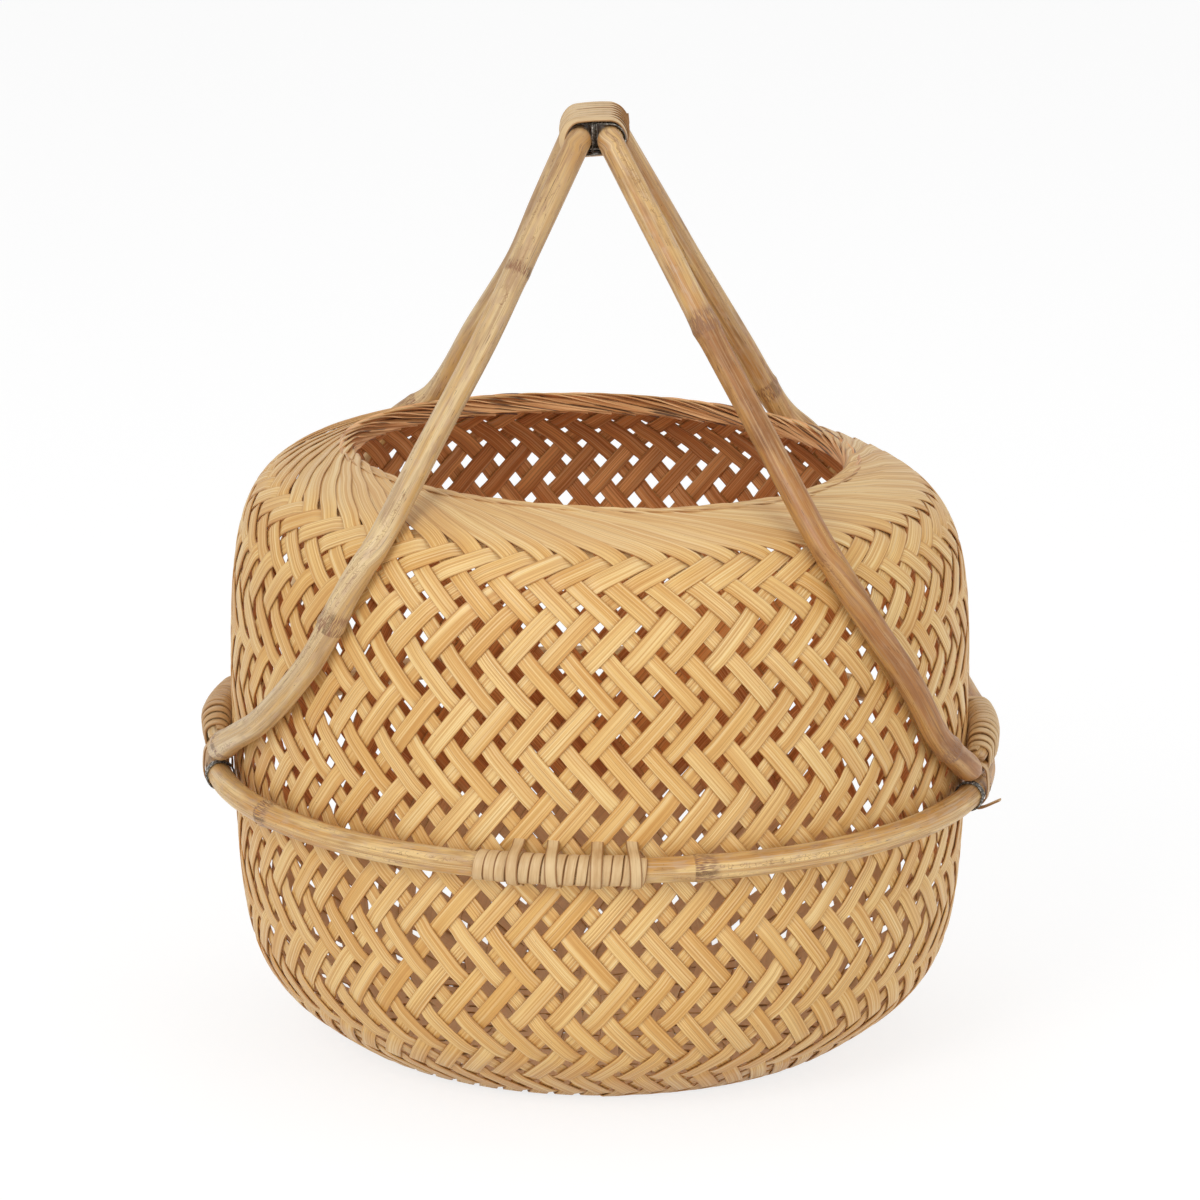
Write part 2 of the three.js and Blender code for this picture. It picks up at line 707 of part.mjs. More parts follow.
// A strap round the hoop below and the tongue above, open at the wall, its lower end running on as a tail
function hoopStrap(route, tail) {
  const hoopReach = clearing(hoopRadiusOfCane + seatGap + peelThickness / 2, turnSteps);
  const shift = lapRadius - hoopRadius;
  const tongueReach = tongueWidth / 2 + seatGap + peelThickness;
  const corner = tongueFloor + tongueThickness * 0.7;
  const top = tongueFloor + tongueThickness + seatGap + peelThickness / 2;
  const line = [
    [-hoopReach, 0],
    [-hoopReach, tongueFloor * 0.7],
    [shift - tongueReach, corner],
    [shift - tongueReach * 0.55, top],
    [shift + tongueReach * 0.55, top],
    [shift + tongueReach, corner],
    [hoopReach, tongueFloor * 0.7],
  ];
  for (let degrees = 0; degrees <= 135; degrees += 360 / turnSteps) {
    line.push([hoopReach * Math.cos(radians(degrees)), -hoopReach * Math.sin(radians(degrees))]);
  }
  if (tail > 0) line.splice(-2, 2, [hoopReach * 0.45, -hoopReach * 1.15], [tail, -hoopReach * 1.05]);
  return strip(sideFrame(route.side, route.crook + strapPlace), line, strapWidth, -strapSlant);
}

function footWire(name, route) {
  const reach = hoopRadiusOfCane + seatGap + footWireThickness / 2;
  const pitch = footWireThickness + turnGap;
  const degreesPerMm = 360 / (2 * Math.PI * hoopRadius);
  const frameAt = (s) =>
    sideFrame(route.side, route.crook + wirePlace - s * footWireTurns * pitch * degreesPerMm);
  const width = footWireThickness;
  const size = { turns: footWireTurns, steps: turnSteps, width, thickness: width };
  return wind(name, frameAt, circle(reach, turnSteps), size);
}

const rightTail = 8;
const strapTail = 15;
addPiece("left_side_lashing", sideLashing("left_side_lashing", leftRoute, leftKnots, 0), peel);
addPiece("right_side_lashing", sideLashing("right_side_lashing", rightRoute, rightKnots, rightTail), peel);
addPiece("left_hoop_strap", hoopStrap(leftRoute, 0), peel);
addPiece("right_hoop_strap", hoopStrap(rightRoute, strapTail), peel);
addPiece("left_foot_wire", footWire("left_foot_wire", leftRoute), wire);
addPiece("right_foot_wire", footWire("right_foot_wire", rightRoute), wire);

// Wire and lashing round both grips

const halfSpan = gripGap / 2 + legRadius;
const topWireTurns = 4;
const topTail = 7;
const topStart = (2 * Math.PI * arcSteps) / 2 / arcTurnSteps; // at the outermost line of the right grip
const topWireLine = legRadius + seatGap + wireThickness / 2;
const topPeelLine =
  clearing(topWireLine, 2 * arcSteps) + wireThickness / 2 + seatGap + peelThickness / 2;

function gripFrame(s) {
  const middle = new THREE.Vector3(gripShift, (s - 0.5) * topTravel, gripHeight);
  const out = new THREE.Vector3(1, 0, 0);
  const along = new THREE.Vector3(0, 1, 0);
  return { middle, out, up: upright, along };
}

function topWinding(name, line, size) {
  const full = { ...size, steps: arcTurnSteps, start: topStart };
  return wind(name, gripFrame, (s, turn) => roundTwo(halfSpan, line, turn), full);
}

const topWireSize = { turns: topWireTurns, width: wireThickness, thickness: wireThickness };
const topPeelSize = { turns: topTurns, width: topPeel, thickness: peelThickness, tail: topTail };
addPiece("top_wire", topWinding("top_wire", topWireLine, topWireSize), wire);
addPiece("top_lashing", topWinding("top_lashing", topPeelLine, topPeelSize), peel);

export default object;
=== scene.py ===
# Woven bamboo basket with a cane hoop and two lashed cane handles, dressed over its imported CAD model.
# Shape code works in millimetres, with Z up and -Y the front, and every piece is made in metres.

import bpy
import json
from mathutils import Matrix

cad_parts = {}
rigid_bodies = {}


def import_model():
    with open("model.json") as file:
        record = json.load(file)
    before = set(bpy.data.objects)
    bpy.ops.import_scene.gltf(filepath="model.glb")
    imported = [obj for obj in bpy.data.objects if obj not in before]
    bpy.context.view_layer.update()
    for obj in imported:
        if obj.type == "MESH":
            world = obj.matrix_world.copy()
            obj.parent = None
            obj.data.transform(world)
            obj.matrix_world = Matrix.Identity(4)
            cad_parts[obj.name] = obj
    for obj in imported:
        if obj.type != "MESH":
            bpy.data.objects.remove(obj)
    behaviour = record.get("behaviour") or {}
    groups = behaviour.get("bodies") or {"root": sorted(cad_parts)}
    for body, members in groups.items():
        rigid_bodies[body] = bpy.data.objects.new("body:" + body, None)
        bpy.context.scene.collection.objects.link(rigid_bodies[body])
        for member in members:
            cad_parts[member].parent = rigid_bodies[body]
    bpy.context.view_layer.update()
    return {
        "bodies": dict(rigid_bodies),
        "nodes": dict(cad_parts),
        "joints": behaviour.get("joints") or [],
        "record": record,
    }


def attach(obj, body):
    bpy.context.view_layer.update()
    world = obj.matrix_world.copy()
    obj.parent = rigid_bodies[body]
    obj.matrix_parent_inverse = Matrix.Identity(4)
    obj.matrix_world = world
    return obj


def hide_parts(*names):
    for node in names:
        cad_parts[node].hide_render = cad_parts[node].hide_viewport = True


bl_info = {
    "name": "Bamboo basket",
    "version": (1, 0, 0),
    "blender": (4, 5, 0),
    "location": "3D View > Sidebar > Basket",
    "description": "Weaves a round bamboo basket and binds its cane hoop and handles",
    "category": "Add Mesh",
}

import json
import math

import bpy
import numpy as np
from bpy.props import FloatProperty, FloatVectorProperty, IntProperty, PointerProperty
from mathutils import Vector

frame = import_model()
MM = 0.001


def linear(hex_colour):
    """An sRGB hex colour as the linear values that a shader takes."""
    channels = [int(hex_colour[i:i + 2], 16) / 255 for i in (1, 3, 5)]
    return tuple(c / 12.92 if c <= 0.04045 else ((c + 0.055) / 1.055) ** 2.4 for c in channels) + (1.0,)


# sizes and colours a user would change


def length_property(name, description, default):
    return FloatProperty(name=name, description=description, default=default, unit="LENGTH")


def colour_property(name, description, hex_colour):
    return FloatVectorProperty(
        name=name, description=description, subtype="COLOR", size=4, min=0, max=1,
        default=linear(hex_colour))


class WeaveSizes(bpy.types.PropertyGroup):
    """Splints of the body."""

    splints: IntProperty(
        name="Splints", description="Splints in each slanting direction", default=60, min=12)
    width: length_property("Splint width", "Width of one bamboo splint", 0.0093)
    thickness: length_property("Splint thickness", "Thickness of one splint", 0.0009)
    wander: length_property("Wander", "How far a splint strays from its even place", 0.0010)


class CaneSizes(bpy.types.PropertyGroup):
    """Hoop, handles and their bindings."""

    hoop: length_property("Hoop cane", "Diameter of the hoop", 0.0135)
    handle: length_property("Handle cane", "Diameter of the handles", 0.014)
    peel: length_property("Peel thickness", "Thickness of the rattan peel", 0.001)
    node_swell: length_property("Node swell", "How far a cane's node stands proud", 0.0005)


class BasketColours(bpy.types.PropertyGroup):
    """Colours of the basket's materials."""

    splint_pale: colour_property("Splint, pale", "Palest part of a splint", "#ECC885")
    splint_warm: colour_property("Splint, warm", "Warmer splints", "#DFB064")
    splint_fibre: colour_property("Splint, fibres", "Orange fibre lines", "#C28340")
    # the inner face's redder, darker colours are partly its own and partly painted shade of the basket's
    # inside
    inner_light: colour_property("Inner face, light", "Lighter part of the inner face", "#FFBE78")
    inner_dark: colour_property("Inner face, dark", "Darker part of the inner face", "#D2884A")
    inner_fibre: colour_property("Inner face, fibres", "Fibre lines of the inner face", "#A0602F")
    # the folded ends take these browner colours towards the back, as painted shade
    rim_light: colour_property("Rim, light", "Lighter part of the folded ends", "#F0BC84")
    rim_dark: colour_property("Rim, dark", "Darker part of the folded ends", "#C98A54")
    cane_light: colour_property("Cane, light", "Lighter part of the cane's skin", "#E6C384")
    cane_warm: colour_property("Cane, warm", "Orange stretches of the cane's skin", "#CB954C")
    cane_dark: colour_property("Cane, dark", "Brown patches of the cane's skin", "#AC7E46")
    pale_light: colour_property("Left handle, light", "Lighter part of the paler handle", "#DCC08F")
    pale_warm: colour_property("Left handle, warm", "Orange stretches of the paler handle", "#CDA466")
    pale_dark: colour_property("Left handle, dark", "Patches of the paler handle", "#B08E68")
    brown_light: colour_property("Right handle, light", "Lighter part of the browner handle", "#D3AA6C")
    brown_warm: colour_property("Right handle, warm", "Orange stretches of the browner handle", "#BE8A50")
    brown_dark: colour_property("Right handle, dark", "Patches of the browner handle", "#9A6E44")
    peel_light: colour_property("Peel, light", "Lighter part of the rattan peel", "#DDBE8E")
    peel_dark: colour_property("Peel, dark", "Darker part of the rattan peel", "#B5854F")
    wire: colour_property("Wire", "Iron wire", "#55514B")
    floor: colour_property("Floor", "Floor under the basket", "#F4F4F4")


# the body's form, as the CAD part has it

BASE_RADIUS, BELLY_RADIUS, MOUTH_RADIUS = 132.6, 200.4, 138.6
BELLY_HEIGHT, COLLAR_HEIGHT, MOUTH_HEIGHT = 200.0, 311.5, 324.0
MOUTH_LEAN = 0.035
LOWER_WALL = ((BASE_RADIUS, 0), (197.3, 40.9), (196.6, 45.3), (BELLY_RADIUS, BELLY_HEIGHT))
UPPER_WALL = ((BELLY_RADIUS, BELLY_HEIGHT), (BELLY_RADIUS, 291), (193.2, COLLAR_HEIGHT),
              (MOUTH_RADIUS, MOUTH_HEIGHT))
RIM_TURN = ((136.6, 324.5), (134.9, 323.9), (133.6, 322.0), (132.6, 319.0), (131.6, 315.6), (130.9, 312.0))
LINE_STEP = 0.5
SHOULDER_RUN = 350  # how far along the line the shoulder starts to be eased
WALL_RUN = 382  # how far along it the wall ends and the mouth's turn starts


def bezier(corners, count):
    t = np.linspace(0, 1, count + 1)[:, None]
    p = np.array(corners, float)
    return (1 - t) ** 3 * p[0] + 3 * (1 - t) ** 2 * t * p[1] + 3 * (1 - t) * t * t * p[2] + t ** 3 * p[3]


def softened(values, times):
    """Rows of values with each step between neighbours evened out, the ends kept."""
    values = np.array(values, float)
    for _ in range(times):
        values[1:-1] = (values[:-2] + 2 * values[1:-1] + values[2:]) / 4
    return values


def unit(rows):
    return rows / np.maximum(np.linalg.norm(rows, axis=-1, keepdims=True), 1e-12)


def run_along(line):
    """How far along a line each of its points lies."""
    return np.concatenate([[0], np.cumsum(np.linalg.norm(np.diff(line, axis=0), axis=1))])


def between(here, run, rows):
    """Values at any place along a run, from the rows that its points have."""
    return np.stack([np.interp(here, run, column) for column in rows.T], axis=-1)


def smoothstep(x, low, high):
    t = np.clip((np.asarray(x, float) - low) / (high - low), 0, 1)
    return t * t * (3 - 2 * t)


def body_profile():
    """Distance along the body's outer line from the base's edge, over the mouth and down its inside."""
    line = np.vstack([bezier(LOWER_WALL, 300), bezier(UPPER_WALL, 300)[1:], RIM_TURN])
    run = np.concatenate([[0], np.cumsum(np.hypot(*np.diff(line, axis=0).T))])
    even = np.arange(0, run[-1], LINE_STEP)
    line = between(even, run, line)
    shoulder = int(SHOULDER_RUN / LINE_STEP)
    line[shoulder:] = softened(line[shoulder:], 14)
    slope = unit(np.gradient(line, axis=0))
    return even, line, np.column_stack([slope[:, 1], -slope[:, 0]])


RUN, LINE, OUTWARD = body_profile()

# Rows of the twill: how far along the body's line a row of crossings lies. The rows are even up the wall,
# close up over the shoulder, and run on nearly level round the mouth and down its inside
ROW_AT = (0, 2.5, 20.5, 24.5, 28.5, 33, 38, 46, 53)
RUN_AT = (0, 34, 258, 306, 344, 367, 382, 390.5, 397)
LAST_OPEN_ROW = 28  # above it the rising splints are tucked under the leaning ones
MOUTH_ROW = 38
RIM_END_ROW = 52
ROW_STEP = 0.2
ROWS = np.arange(0, 53.01, 0.1)
ROW_RUN = softened(np.interp(ROWS, ROW_AT, RUN_AT), 40)
QUARTER = math.pi / 2

# How the splints lie on it. The middle of a splint's thickness is DEPTH under the body's face, and STEP less
# or more where it goes over or under
DEPTH, STEP = 1.2, 0.75
STEP_STARTS, STEP_ENDS = 0.24, 0.76  # shares of the way from one crossing to the next
BASE_PITCH = 9.3  # distance from splint to splint in the middle of the base
WIDTH_RANGE = (0.94, 1.06)  # shares of the splint's width
STRAY_ROWS = (9, 17, 31)  # lengths of the slow bends in a splint, in rows
FRONT_SPREAD = 0.055  # how far the upper rows drift to the back at each side, in radians
FAN_LAG = 1.7  # rows by which a rising splint falls behind as it goes under the fan
TUCK_ROWS, TUCK_DEPTH = 2.6, 1.5  # how far its end goes on there, and how much deeper
FAN_SLACK = 0.55  # how far a leaning splint may lie higher or lower in the fan
FAN_OVERLAP, FAN_STEEPEST = 1.05, 0.42  # its tilt, in thicknesses for each gap, and the most of it
UPPER_WIDER = 0.04  # share by which the splints are wider in the upper wall
# painted shade: the folded rim is browner at the back than at the front
RIM_FRONT_SHADE = 0.15  # how brown the folded rim is at the front, where 1 is its brown at the back
PATTERN_LENGTH = 9000  # each splint takes its own stretch of this much fibre pattern
END_DEPTH, END_NARROWED = 1.2, 0.8  # how a leaning splint's end sinks and narrows inside the mouth
WEAVE_SEED = 7


def lean(x, height):
    return -x * MOUTH_LEAN * smoothstep(height, BELLY_HEIGHT, COLLAR_HEIGHT)


def on_line(run):
    """Radius, height and outward direction of the body's line, how far along it run says."""
    return (*between(run, RUN, LINE).T, *between(run, RUN, OUTWARD).T)


def on_body(angle, run):
    """Points on the body's outer face and their outward directions, before the mouth's lean."""
    radius, height, out, up = on_line(run)
    place = np.column_stack([radius * np.cos(angle), radius * np.sin(angle), height])
    normal = unit(np.column_stack([out * np.cos(angle), out * np.sin(angle), up]))
    return place, normal


def on_base(u, v, half_count):
    """Points of the base's mat at mat coordinates. Its rim, |u| + |v| = half_count, is the base's edge."""
    rho = np.abs(u) + np.abs(v)
    pull = smoothstep(rho, 0, half_count)
    quarter = np.select([(u > 0) & (v >= 0), (u <= 0) & (v > 0), (u < 0) & (v <= 0)], [0, 1, 2], 3)
    ahead = np.select([quarter == 0, quarter == 1, quarter == 2], [v, -u, -v], u)
    flat = np.arctan2(v, u) % (2 * math.pi)
    flat = np.where((quarter == 0) & (flat > math.pi), flat - 2 * math.pi, flat)
    round_way = QUARTER * (quarter + ahead / np.maximum(rho, 1e-9))
    radius = (1 - pull) * BASE_PITCH * np.hypot(u, v) + pull * BASE_RADIUS / half_count * rho
    angle = (1 - pull) * flat + pull * round_way
    place = np.column_stack([radius * np.cos(angle), radius * np.sin(angle), np.zeros_like(radius)])
    return place, np.tile((0.0, 0.0, -1.0), (len(place), 1))


def over_at(row, rising):
    """1 where a rising or leaning splint lies outside at a row of crossings, and -1 where it lies inside."""
    row = np.asarray(row)
    outside = (row % 4 == 3) | (row % 4 == 0)
    if not rising:
        outside = ~outside
    outside = np.where(row > LAST_OPEN_ROW, not rising, outside)
    return np.where(outside, 1.0, -1.0)


def wave(place, crossing, states):
    """The way a splint steps from one crossing to the next: flat over each and steep between them."""
    i = np.clip(np.searchsorted(crossing, place, side="right") - 1, 0, len(crossing) - 2)
    share = (place - crossing[i]) / (crossing[i + 1] - crossing[i])
    step = smoothstep(share, STEP_STARTS, STEP_ENDS)
    return states[i] * (1 - step) + states[i + 1] * step


def levelled(rows):
    """How many rows a rising splint falls behind as it turns level to go under the fan."""
    return FAN_LAG * smoothstep(rows, LAST_OPEN_ROW - 3, LAST_OPEN_ROW + 3)


def wall_end(edge_angle, rising, last_row, random, weave):
    """A splint's path up the wall from the base's edge: place, outward direction, wave and row."""
    rows = np.arange(0, last_row + 1e-6, ROW_STEP)
    run = np.interp(rows - levelled(rows) if rising else rows, ROWS, ROW_RUN)
    way = 1 if rising else -1
    angle = edge_angle + way * math.radians(180 / weave.splints) * rows
    stray = np.zeros_like(rows)
    for length in STRAY_ROWS:
        stray += random.uniform(0.2, 0.6) * np.sin(2 * math.pi * (rows / length + random.random()))
    stray += random.uniform(-0.8, 0.8)
    angle = angle + weave.wander / MM * stray * smoothstep(rows, 0, 6) / BELLY_RADIUS
    angle = angle + FRONT_SPREAD * np.sin(angle + QUARTER) * smoothstep(rows, 14, 26)
    place, normal = on_body(angle, run)
    crossing = np.arange(0, math.ceil(last_row) + 4)
    met = np.interp(2 * crossing, 2 * ROWS - levelled(ROWS), ROWS)
    if not rising:
        met = 2 * crossing - met
    return place, normal, wave(rows, met, over_at(crossing, rising)), rows


def mat_splint(across, along_v, weave):
    """The stretch of a splint in the base, and for each of its two ends the angle and way up the wall."""
    half_count = weave.splints // 4
    reach = half_count - abs(across)
    steps = np.arange(-reach, reach + 1e-6, 0.25)
    fixed = np.full_like(steps, across)
    u, v = (fixed, steps) if along_v else (steps, fixed)
    place, normal = on_base(u, v, half_count)
    crossing = np.arange(-reach - 1, reach + 1.5)
    crossing_u, crossing_v = (across, crossing) if along_v else (crossing, across)
    rho = np.round(np.abs(crossing_u) + np.abs(crossing_v)).astype(int)
    rising_here = (np.sign(crossing_u * crossing_v) > 0) == along_v
    states = np.where(rising_here, over_at(rho - half_count, True), over_at(rho - half_count, False))
    rows = np.abs(u) + np.abs(v) - half_count
    base = (place, normal, wave(steps, crossing, states), rows)
    tips = []
    for tip in (-reach, reach):
        tip_u, tip_v = (across, tip) if along_v else (tip, across)
        edge, _ = on_base(np.array([float(tip_u)]), np.array([float(tip_v)]), half_count)
        tips.append((math.atan2(edge[0][1], edge[0][0]), (tip_u * tip_v > 0) == along_v))
    return base, tips


def whole_splint(across, along_v, random, weave):
    """One splint from end to end: down one side of the wall, through the base and up the other side."""
    (base_place, base_normal, base_step, base_rows), tips = mat_splint(across, along_v, weave)
    width = weave.width / MM * random.uniform(*WIDTH_RANGE)
    thickness = weave.thickness / MM
    slack = random.uniform(-1, 1)
    stretches = []
    for (angle, rising), turned in zip(tips, (True, False)):
        last = LAST_OPEN_ROW + TUCK_ROWS if rising else RIM_END_ROW
        place, normal, step, rows = wall_end(angle, rising, last, random, weave)
        depth = DEPTH - STEP * step
        tilt = np.zeros_like(rows)
        widths = width * (1 + UPPER_WIDER * smoothstep(rows, 10, 24))
        if rising:
            depth = depth + TUCK_DEPTH * smoothstep(rows, LAST_OPEN_ROW + 0.8, last)
        else:
            tilt, depth = shingle(place, rows, depth, width, thickness, weave)
            depth = depth + FAN_SLACK * slack * smoothstep(rows, 33, 40)
            depth = depth + END_DEPTH * smoothstep(rows, last - 5, last)
            widths = widths * (1 - END_NARROWED * smoothstep(rows, last - 7, last))
        stretch = [place, normal, depth, rows, tilt, widths]
        if turned:
            stretch = [values[::-1] for values in stretch]
            stretch[4] = -stretch[4]
        stretches.append(stretch)
    depth = DEPTH - STEP * base_step
    middle = [base_place, base_normal, depth, base_rows, 0 * base_rows, np.full_like(base_rows, width)]
    middle = [values[1:-1] for values in middle]
    joined = [np.concatenate(parts) for parts in zip(stretches[0], middle, stretches[1])]
    place, normal, depth, rows, tilt, widths = joined
    near = (1 - smoothstep(np.abs(rows), 1.2, 3.5))[:, None]
    place = place * (1 - near) + softened(place, 16) * near
    normal = unit(softened(normal, 8))
    sunk = place - normal * depth[:, None]
    rings, run, x = strip_rings(sunk, normal, widths, thickness, SPLINT_SECTION, tilt)
    first, last = len(stretches[0][0]), len(stretches[0][0]) + len(middle[0])
    return rings, run + random.uniform(0, PATTERN_LENGTH), x, rows, first, last, tips


# Outlines across a strip, from one edge over the outer face, in shares of half its width and of its
# thickness. INNER_SIDES are the sides of a splint that show its inner face
SPLINT_SECTION = ((-1.0, -0.1), (-0.96, 0.36), (-0.5, 0.5), (0.5, 0.5), (0.96, 0.36), (1.0, -0.1),
                  (0.94, -0.5), (-0.94, -0.5))
INNER_SIDES = (6,)
PEEL_SECTION = ((-1.0, -0.2), (-0.93, 0.26), (-0.5, 0.46), (0.0, 0.52), (0.5, 0.46), (0.93, 0.26),
                (1.0, -0.2), (0.9, -0.5), (-0.9, -0.5))
SMOOTH_ANGLE = 38


class Strips:
    """Closed strips gathered into one mesh, each with its length and width as a UV map in metres. They are
    made ring by ring, because no primitive or modifier goes over and under as a weave does."""

    def __init__(self):
        self.points, self.faces, self.uv, self.slots, self.tones, self.fans = [], [], [], [], [], []
        self.count = 0

    def add(self, rings, along, across, tone, inner=(), fan=0.0):
        """Rings of points along a strip. across is each ring point's place across, in millimetres, and inner
        lists the sides that take the second material. tone and fan are one value for the strip or for each
        ring."""
        steps, sides = rings.shape[:2]
        self.points.append(rings.reshape(-1, 3))
        uv = np.empty((steps, sides, 2))
        uv[..., 0] = along[:, None]
        uv[..., 1] = across
        self.uv.append(uv.reshape(-1, 2))
        first = self.count
        for i in range(steps - 1):
            a = first + i * sides
            for j in range(sides):
                k = (j + 1) % sides
                self.faces.append((a + j, a + k, a + sides + k, a + sides + j))
                self.slots.append(1 if j in inner else 0)
        last = first + (steps - 1) * sides
        self.faces.append(tuple(range(first + sides - 1, first - 1, -1)))
        self.faces.append(tuple(range(last, last + sides)))
        self.slots += [0, 0]
        self.tones.append(np.repeat(np.broadcast_to(tone, steps), sides))
        self.fans.append(np.repeat(np.broadcast_to(fan, steps), sides))
        self.count += steps * sides

    def make(self, name, materials, leaned=False):
        points = np.vstack(self.points)
        if leaned:
            points[:, 2] += lean(points[:, 0], points[:, 2])
        mesh = bpy.data.meshes.new(name)
        mesh.from_pydata((points * MM).tolist(), [], self.faces)
        for material in materials:
            mesh.materials.append(material)
        mesh.polygons.foreach_set("material_index", self.slots)
        corners = np.empty(len(mesh.loops), np.int64)
        mesh.loops.foreach_get("vertex_index", corners)
        layer = mesh.uv_layers.new(name="strip")
        layer.data.foreach_set("uv", (np.vstack(self.uv) * MM)[corners].astype(np.float32).ravel())
        for name_of, values in (("tone", self.tones), ("fan", self.fans)):
            layer = mesh.attributes.new(name_of, "FLOAT", "POINT")
            layer.data.foreach_set("value", np.concatenate(values).astype(np.float32))
        piece = bpy.data.objects.new(name, mesh)
        bpy.context.scene.collection.objects.link(piece)
        face_outward(piece)
        return piece


def face_outward(piece):
    bpy.ops.object.select_all(action="DESELECT")
    piece.select_set(True)
    bpy.context.view_layer.objects.active = piece
    bpy.ops.object.mode_set(mode="EDIT")
    bpy.ops.mesh.select_all(action="SELECT")
    bpy.ops.mesh.normals_make_consistent(inside=False)
    bpy.ops.object.mode_set(mode="OBJECT")
    bpy.ops.object.shade_smooth_by_angle(angle=math.radians(SMOOTH_ANGLE))


def dress(piece, slot, *nodes):
    """A finished piece rides with the basket and stands for its CAD nodes."""
    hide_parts(*nodes)
    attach(piece, "root")


def strip_rings(place, normal, width, thickness, section, tilt=None):
    """Rings of a flat strip along places whose outward directions are given."""
    along = unit(np.gradient(place, axis=0))
    side = unit(np.cross(normal, along))
    normal = unit(np.cross(along, side))
    if tilt is not None:
        raised = unit(side + normal * tilt[:, None])
        normal = unit(np.cross(along, raised))
        side = raised
    shape = np.array(section)
    width = np.broadcast_to(width, len(place))
    x = shape[None, :, 0] * width[:, None] / 2
    y = shape[:, 1] * thickness
    rings = place[:, None] + side[:, None] * x[..., None] + normal[:, None] * y[None, :, None]
    return rings, run_along(place), x


# materials


def node(tree, kind, inputs=None, **settings):
    """Adds a node with its settings, and links or values for its inputs."""
    made = tree.nodes.new(kind)
    for name, value in settings.items():
        setattr(made, name, value)
    for name, value in (inputs or {}).items():
        socket = made.inputs[name]
        if isinstance(value, bpy.types.NodeSocket):
            tree.links.new(value, socket)
        else:
            socket.default_value = value
    return made


def new_material(name):
    material = bpy.data.materials.new(name)
    material.use_nodes = True
    material.node_tree.nodes.clear()
    return material.node_tree


def finish_material(tree, colour, roughness, height, bump_mm, **sockets):
    bump = node(tree, "ShaderNodeBump", {"Height": height, "Strength": 1.0, "Distance": bump_mm * MM})
    shader = node(tree, "ShaderNodeBsdfPrincipled",
                  {"Base Color": colour, "Roughness": roughness, "Normal": bump.outputs[0], **sockets})
    node(tree, "ShaderNodeOutputMaterial", {"Surface": shader.outputs[0]})


def strip_values(tree, *attributes):
    """The strip's own map, and the values that its points carry."""
    values = [node(tree, "ShaderNodeAttribute", attribute_name=each).outputs["Fac"] for each in attributes]
    return node(tree, "ShaderNodeUVMap", uv_map="strip").outputs[0], *values


def fibre_noises(tree, line, *sizes):
    """Noises drawn out along a strip, each from its length and width in millimetres, its detail and its own
    place in the noise."""
    noises = []
    for long_mm, wide_mm, detail, place in sizes:
        scale = node(tree, "ShaderNodeVectorMath",
                     {0: line, 1: (1 / (long_mm * MM), 1 / (wide_mm * MM), 1.0)}, operation="MULTIPLY")
        shifted = node(tree, "ShaderNodeVectorMath",
                       {0: scale.outputs[0], 1: (place, place * 1.7, place)}, operation="ADD")
        noise = node(tree, "ShaderNodeTexNoise",
                     {"Vector": shifted.outputs[0], "Scale": 1.0, "Detail": detail, "Roughness": 0.55})
        noises.append(noise.outputs["Fac"])
    return noises


def share_where(tree, *ranges):
    """How much of something shows where a pattern goes from one value to another. Each range is the pattern,
    the two values and the shares there, and the shares of several ranges are multiplied."""
    whole = None
    for pattern, start, end, share, last_share in ranges:
        part = node(tree, "ShaderNodeMapRange",
                    {"Value": pattern, "From Min": start, "From Max": end, "To Min": share,
                     "To Max": last_share}, interpolation_type="SMOOTHSTEP").outputs["Result"]
        if whole is not None:
            part = node(tree, "ShaderNodeMath", {0: whole, 1: part}, operation="MULTIPLY").outputs[0]
        whole = part
    return whole


def tinted(tree, colour, *layers, blend_type="MIX"):
    """Lays colours over one another. A layer is its colour and its share, or its colour, a pattern, the two
    values that the pattern goes from and to, and the most of the colour that shows."""
    for over, share, *limits in layers:
        if limits:
            start, end, most = limits
            share = share_where(tree, (share, start, end, 0, most))
        over = linear(over) if isinstance(over, str) else over
        mixed = node(tree, "ShaderNodeMix", {"Factor": share, "A": colour, "B": over}, data_type="RGBA",
                     blend_type=blend_type)
        colour = mixed.outputs["Result"]
    return colour


def mixed_colour(first, second, share):
    return tuple(a * (1 - share) + b * share for a, b in zip(first, second))


def edge_share(tree, line, inside_mm, outside_mm):
    """None of a colour near the strip's middle line, and all of it at its edges."""
    across = node(tree, "ShaderNodeSeparateXYZ", {0: line}).outputs[1]
    away = node(tree, "ShaderNodeMath", {0: across}, operation="ABSOLUTE").outputs[0]
    return share_where(tree, (away, inside_mm * MM, outside_mm * MM, 0, 1))


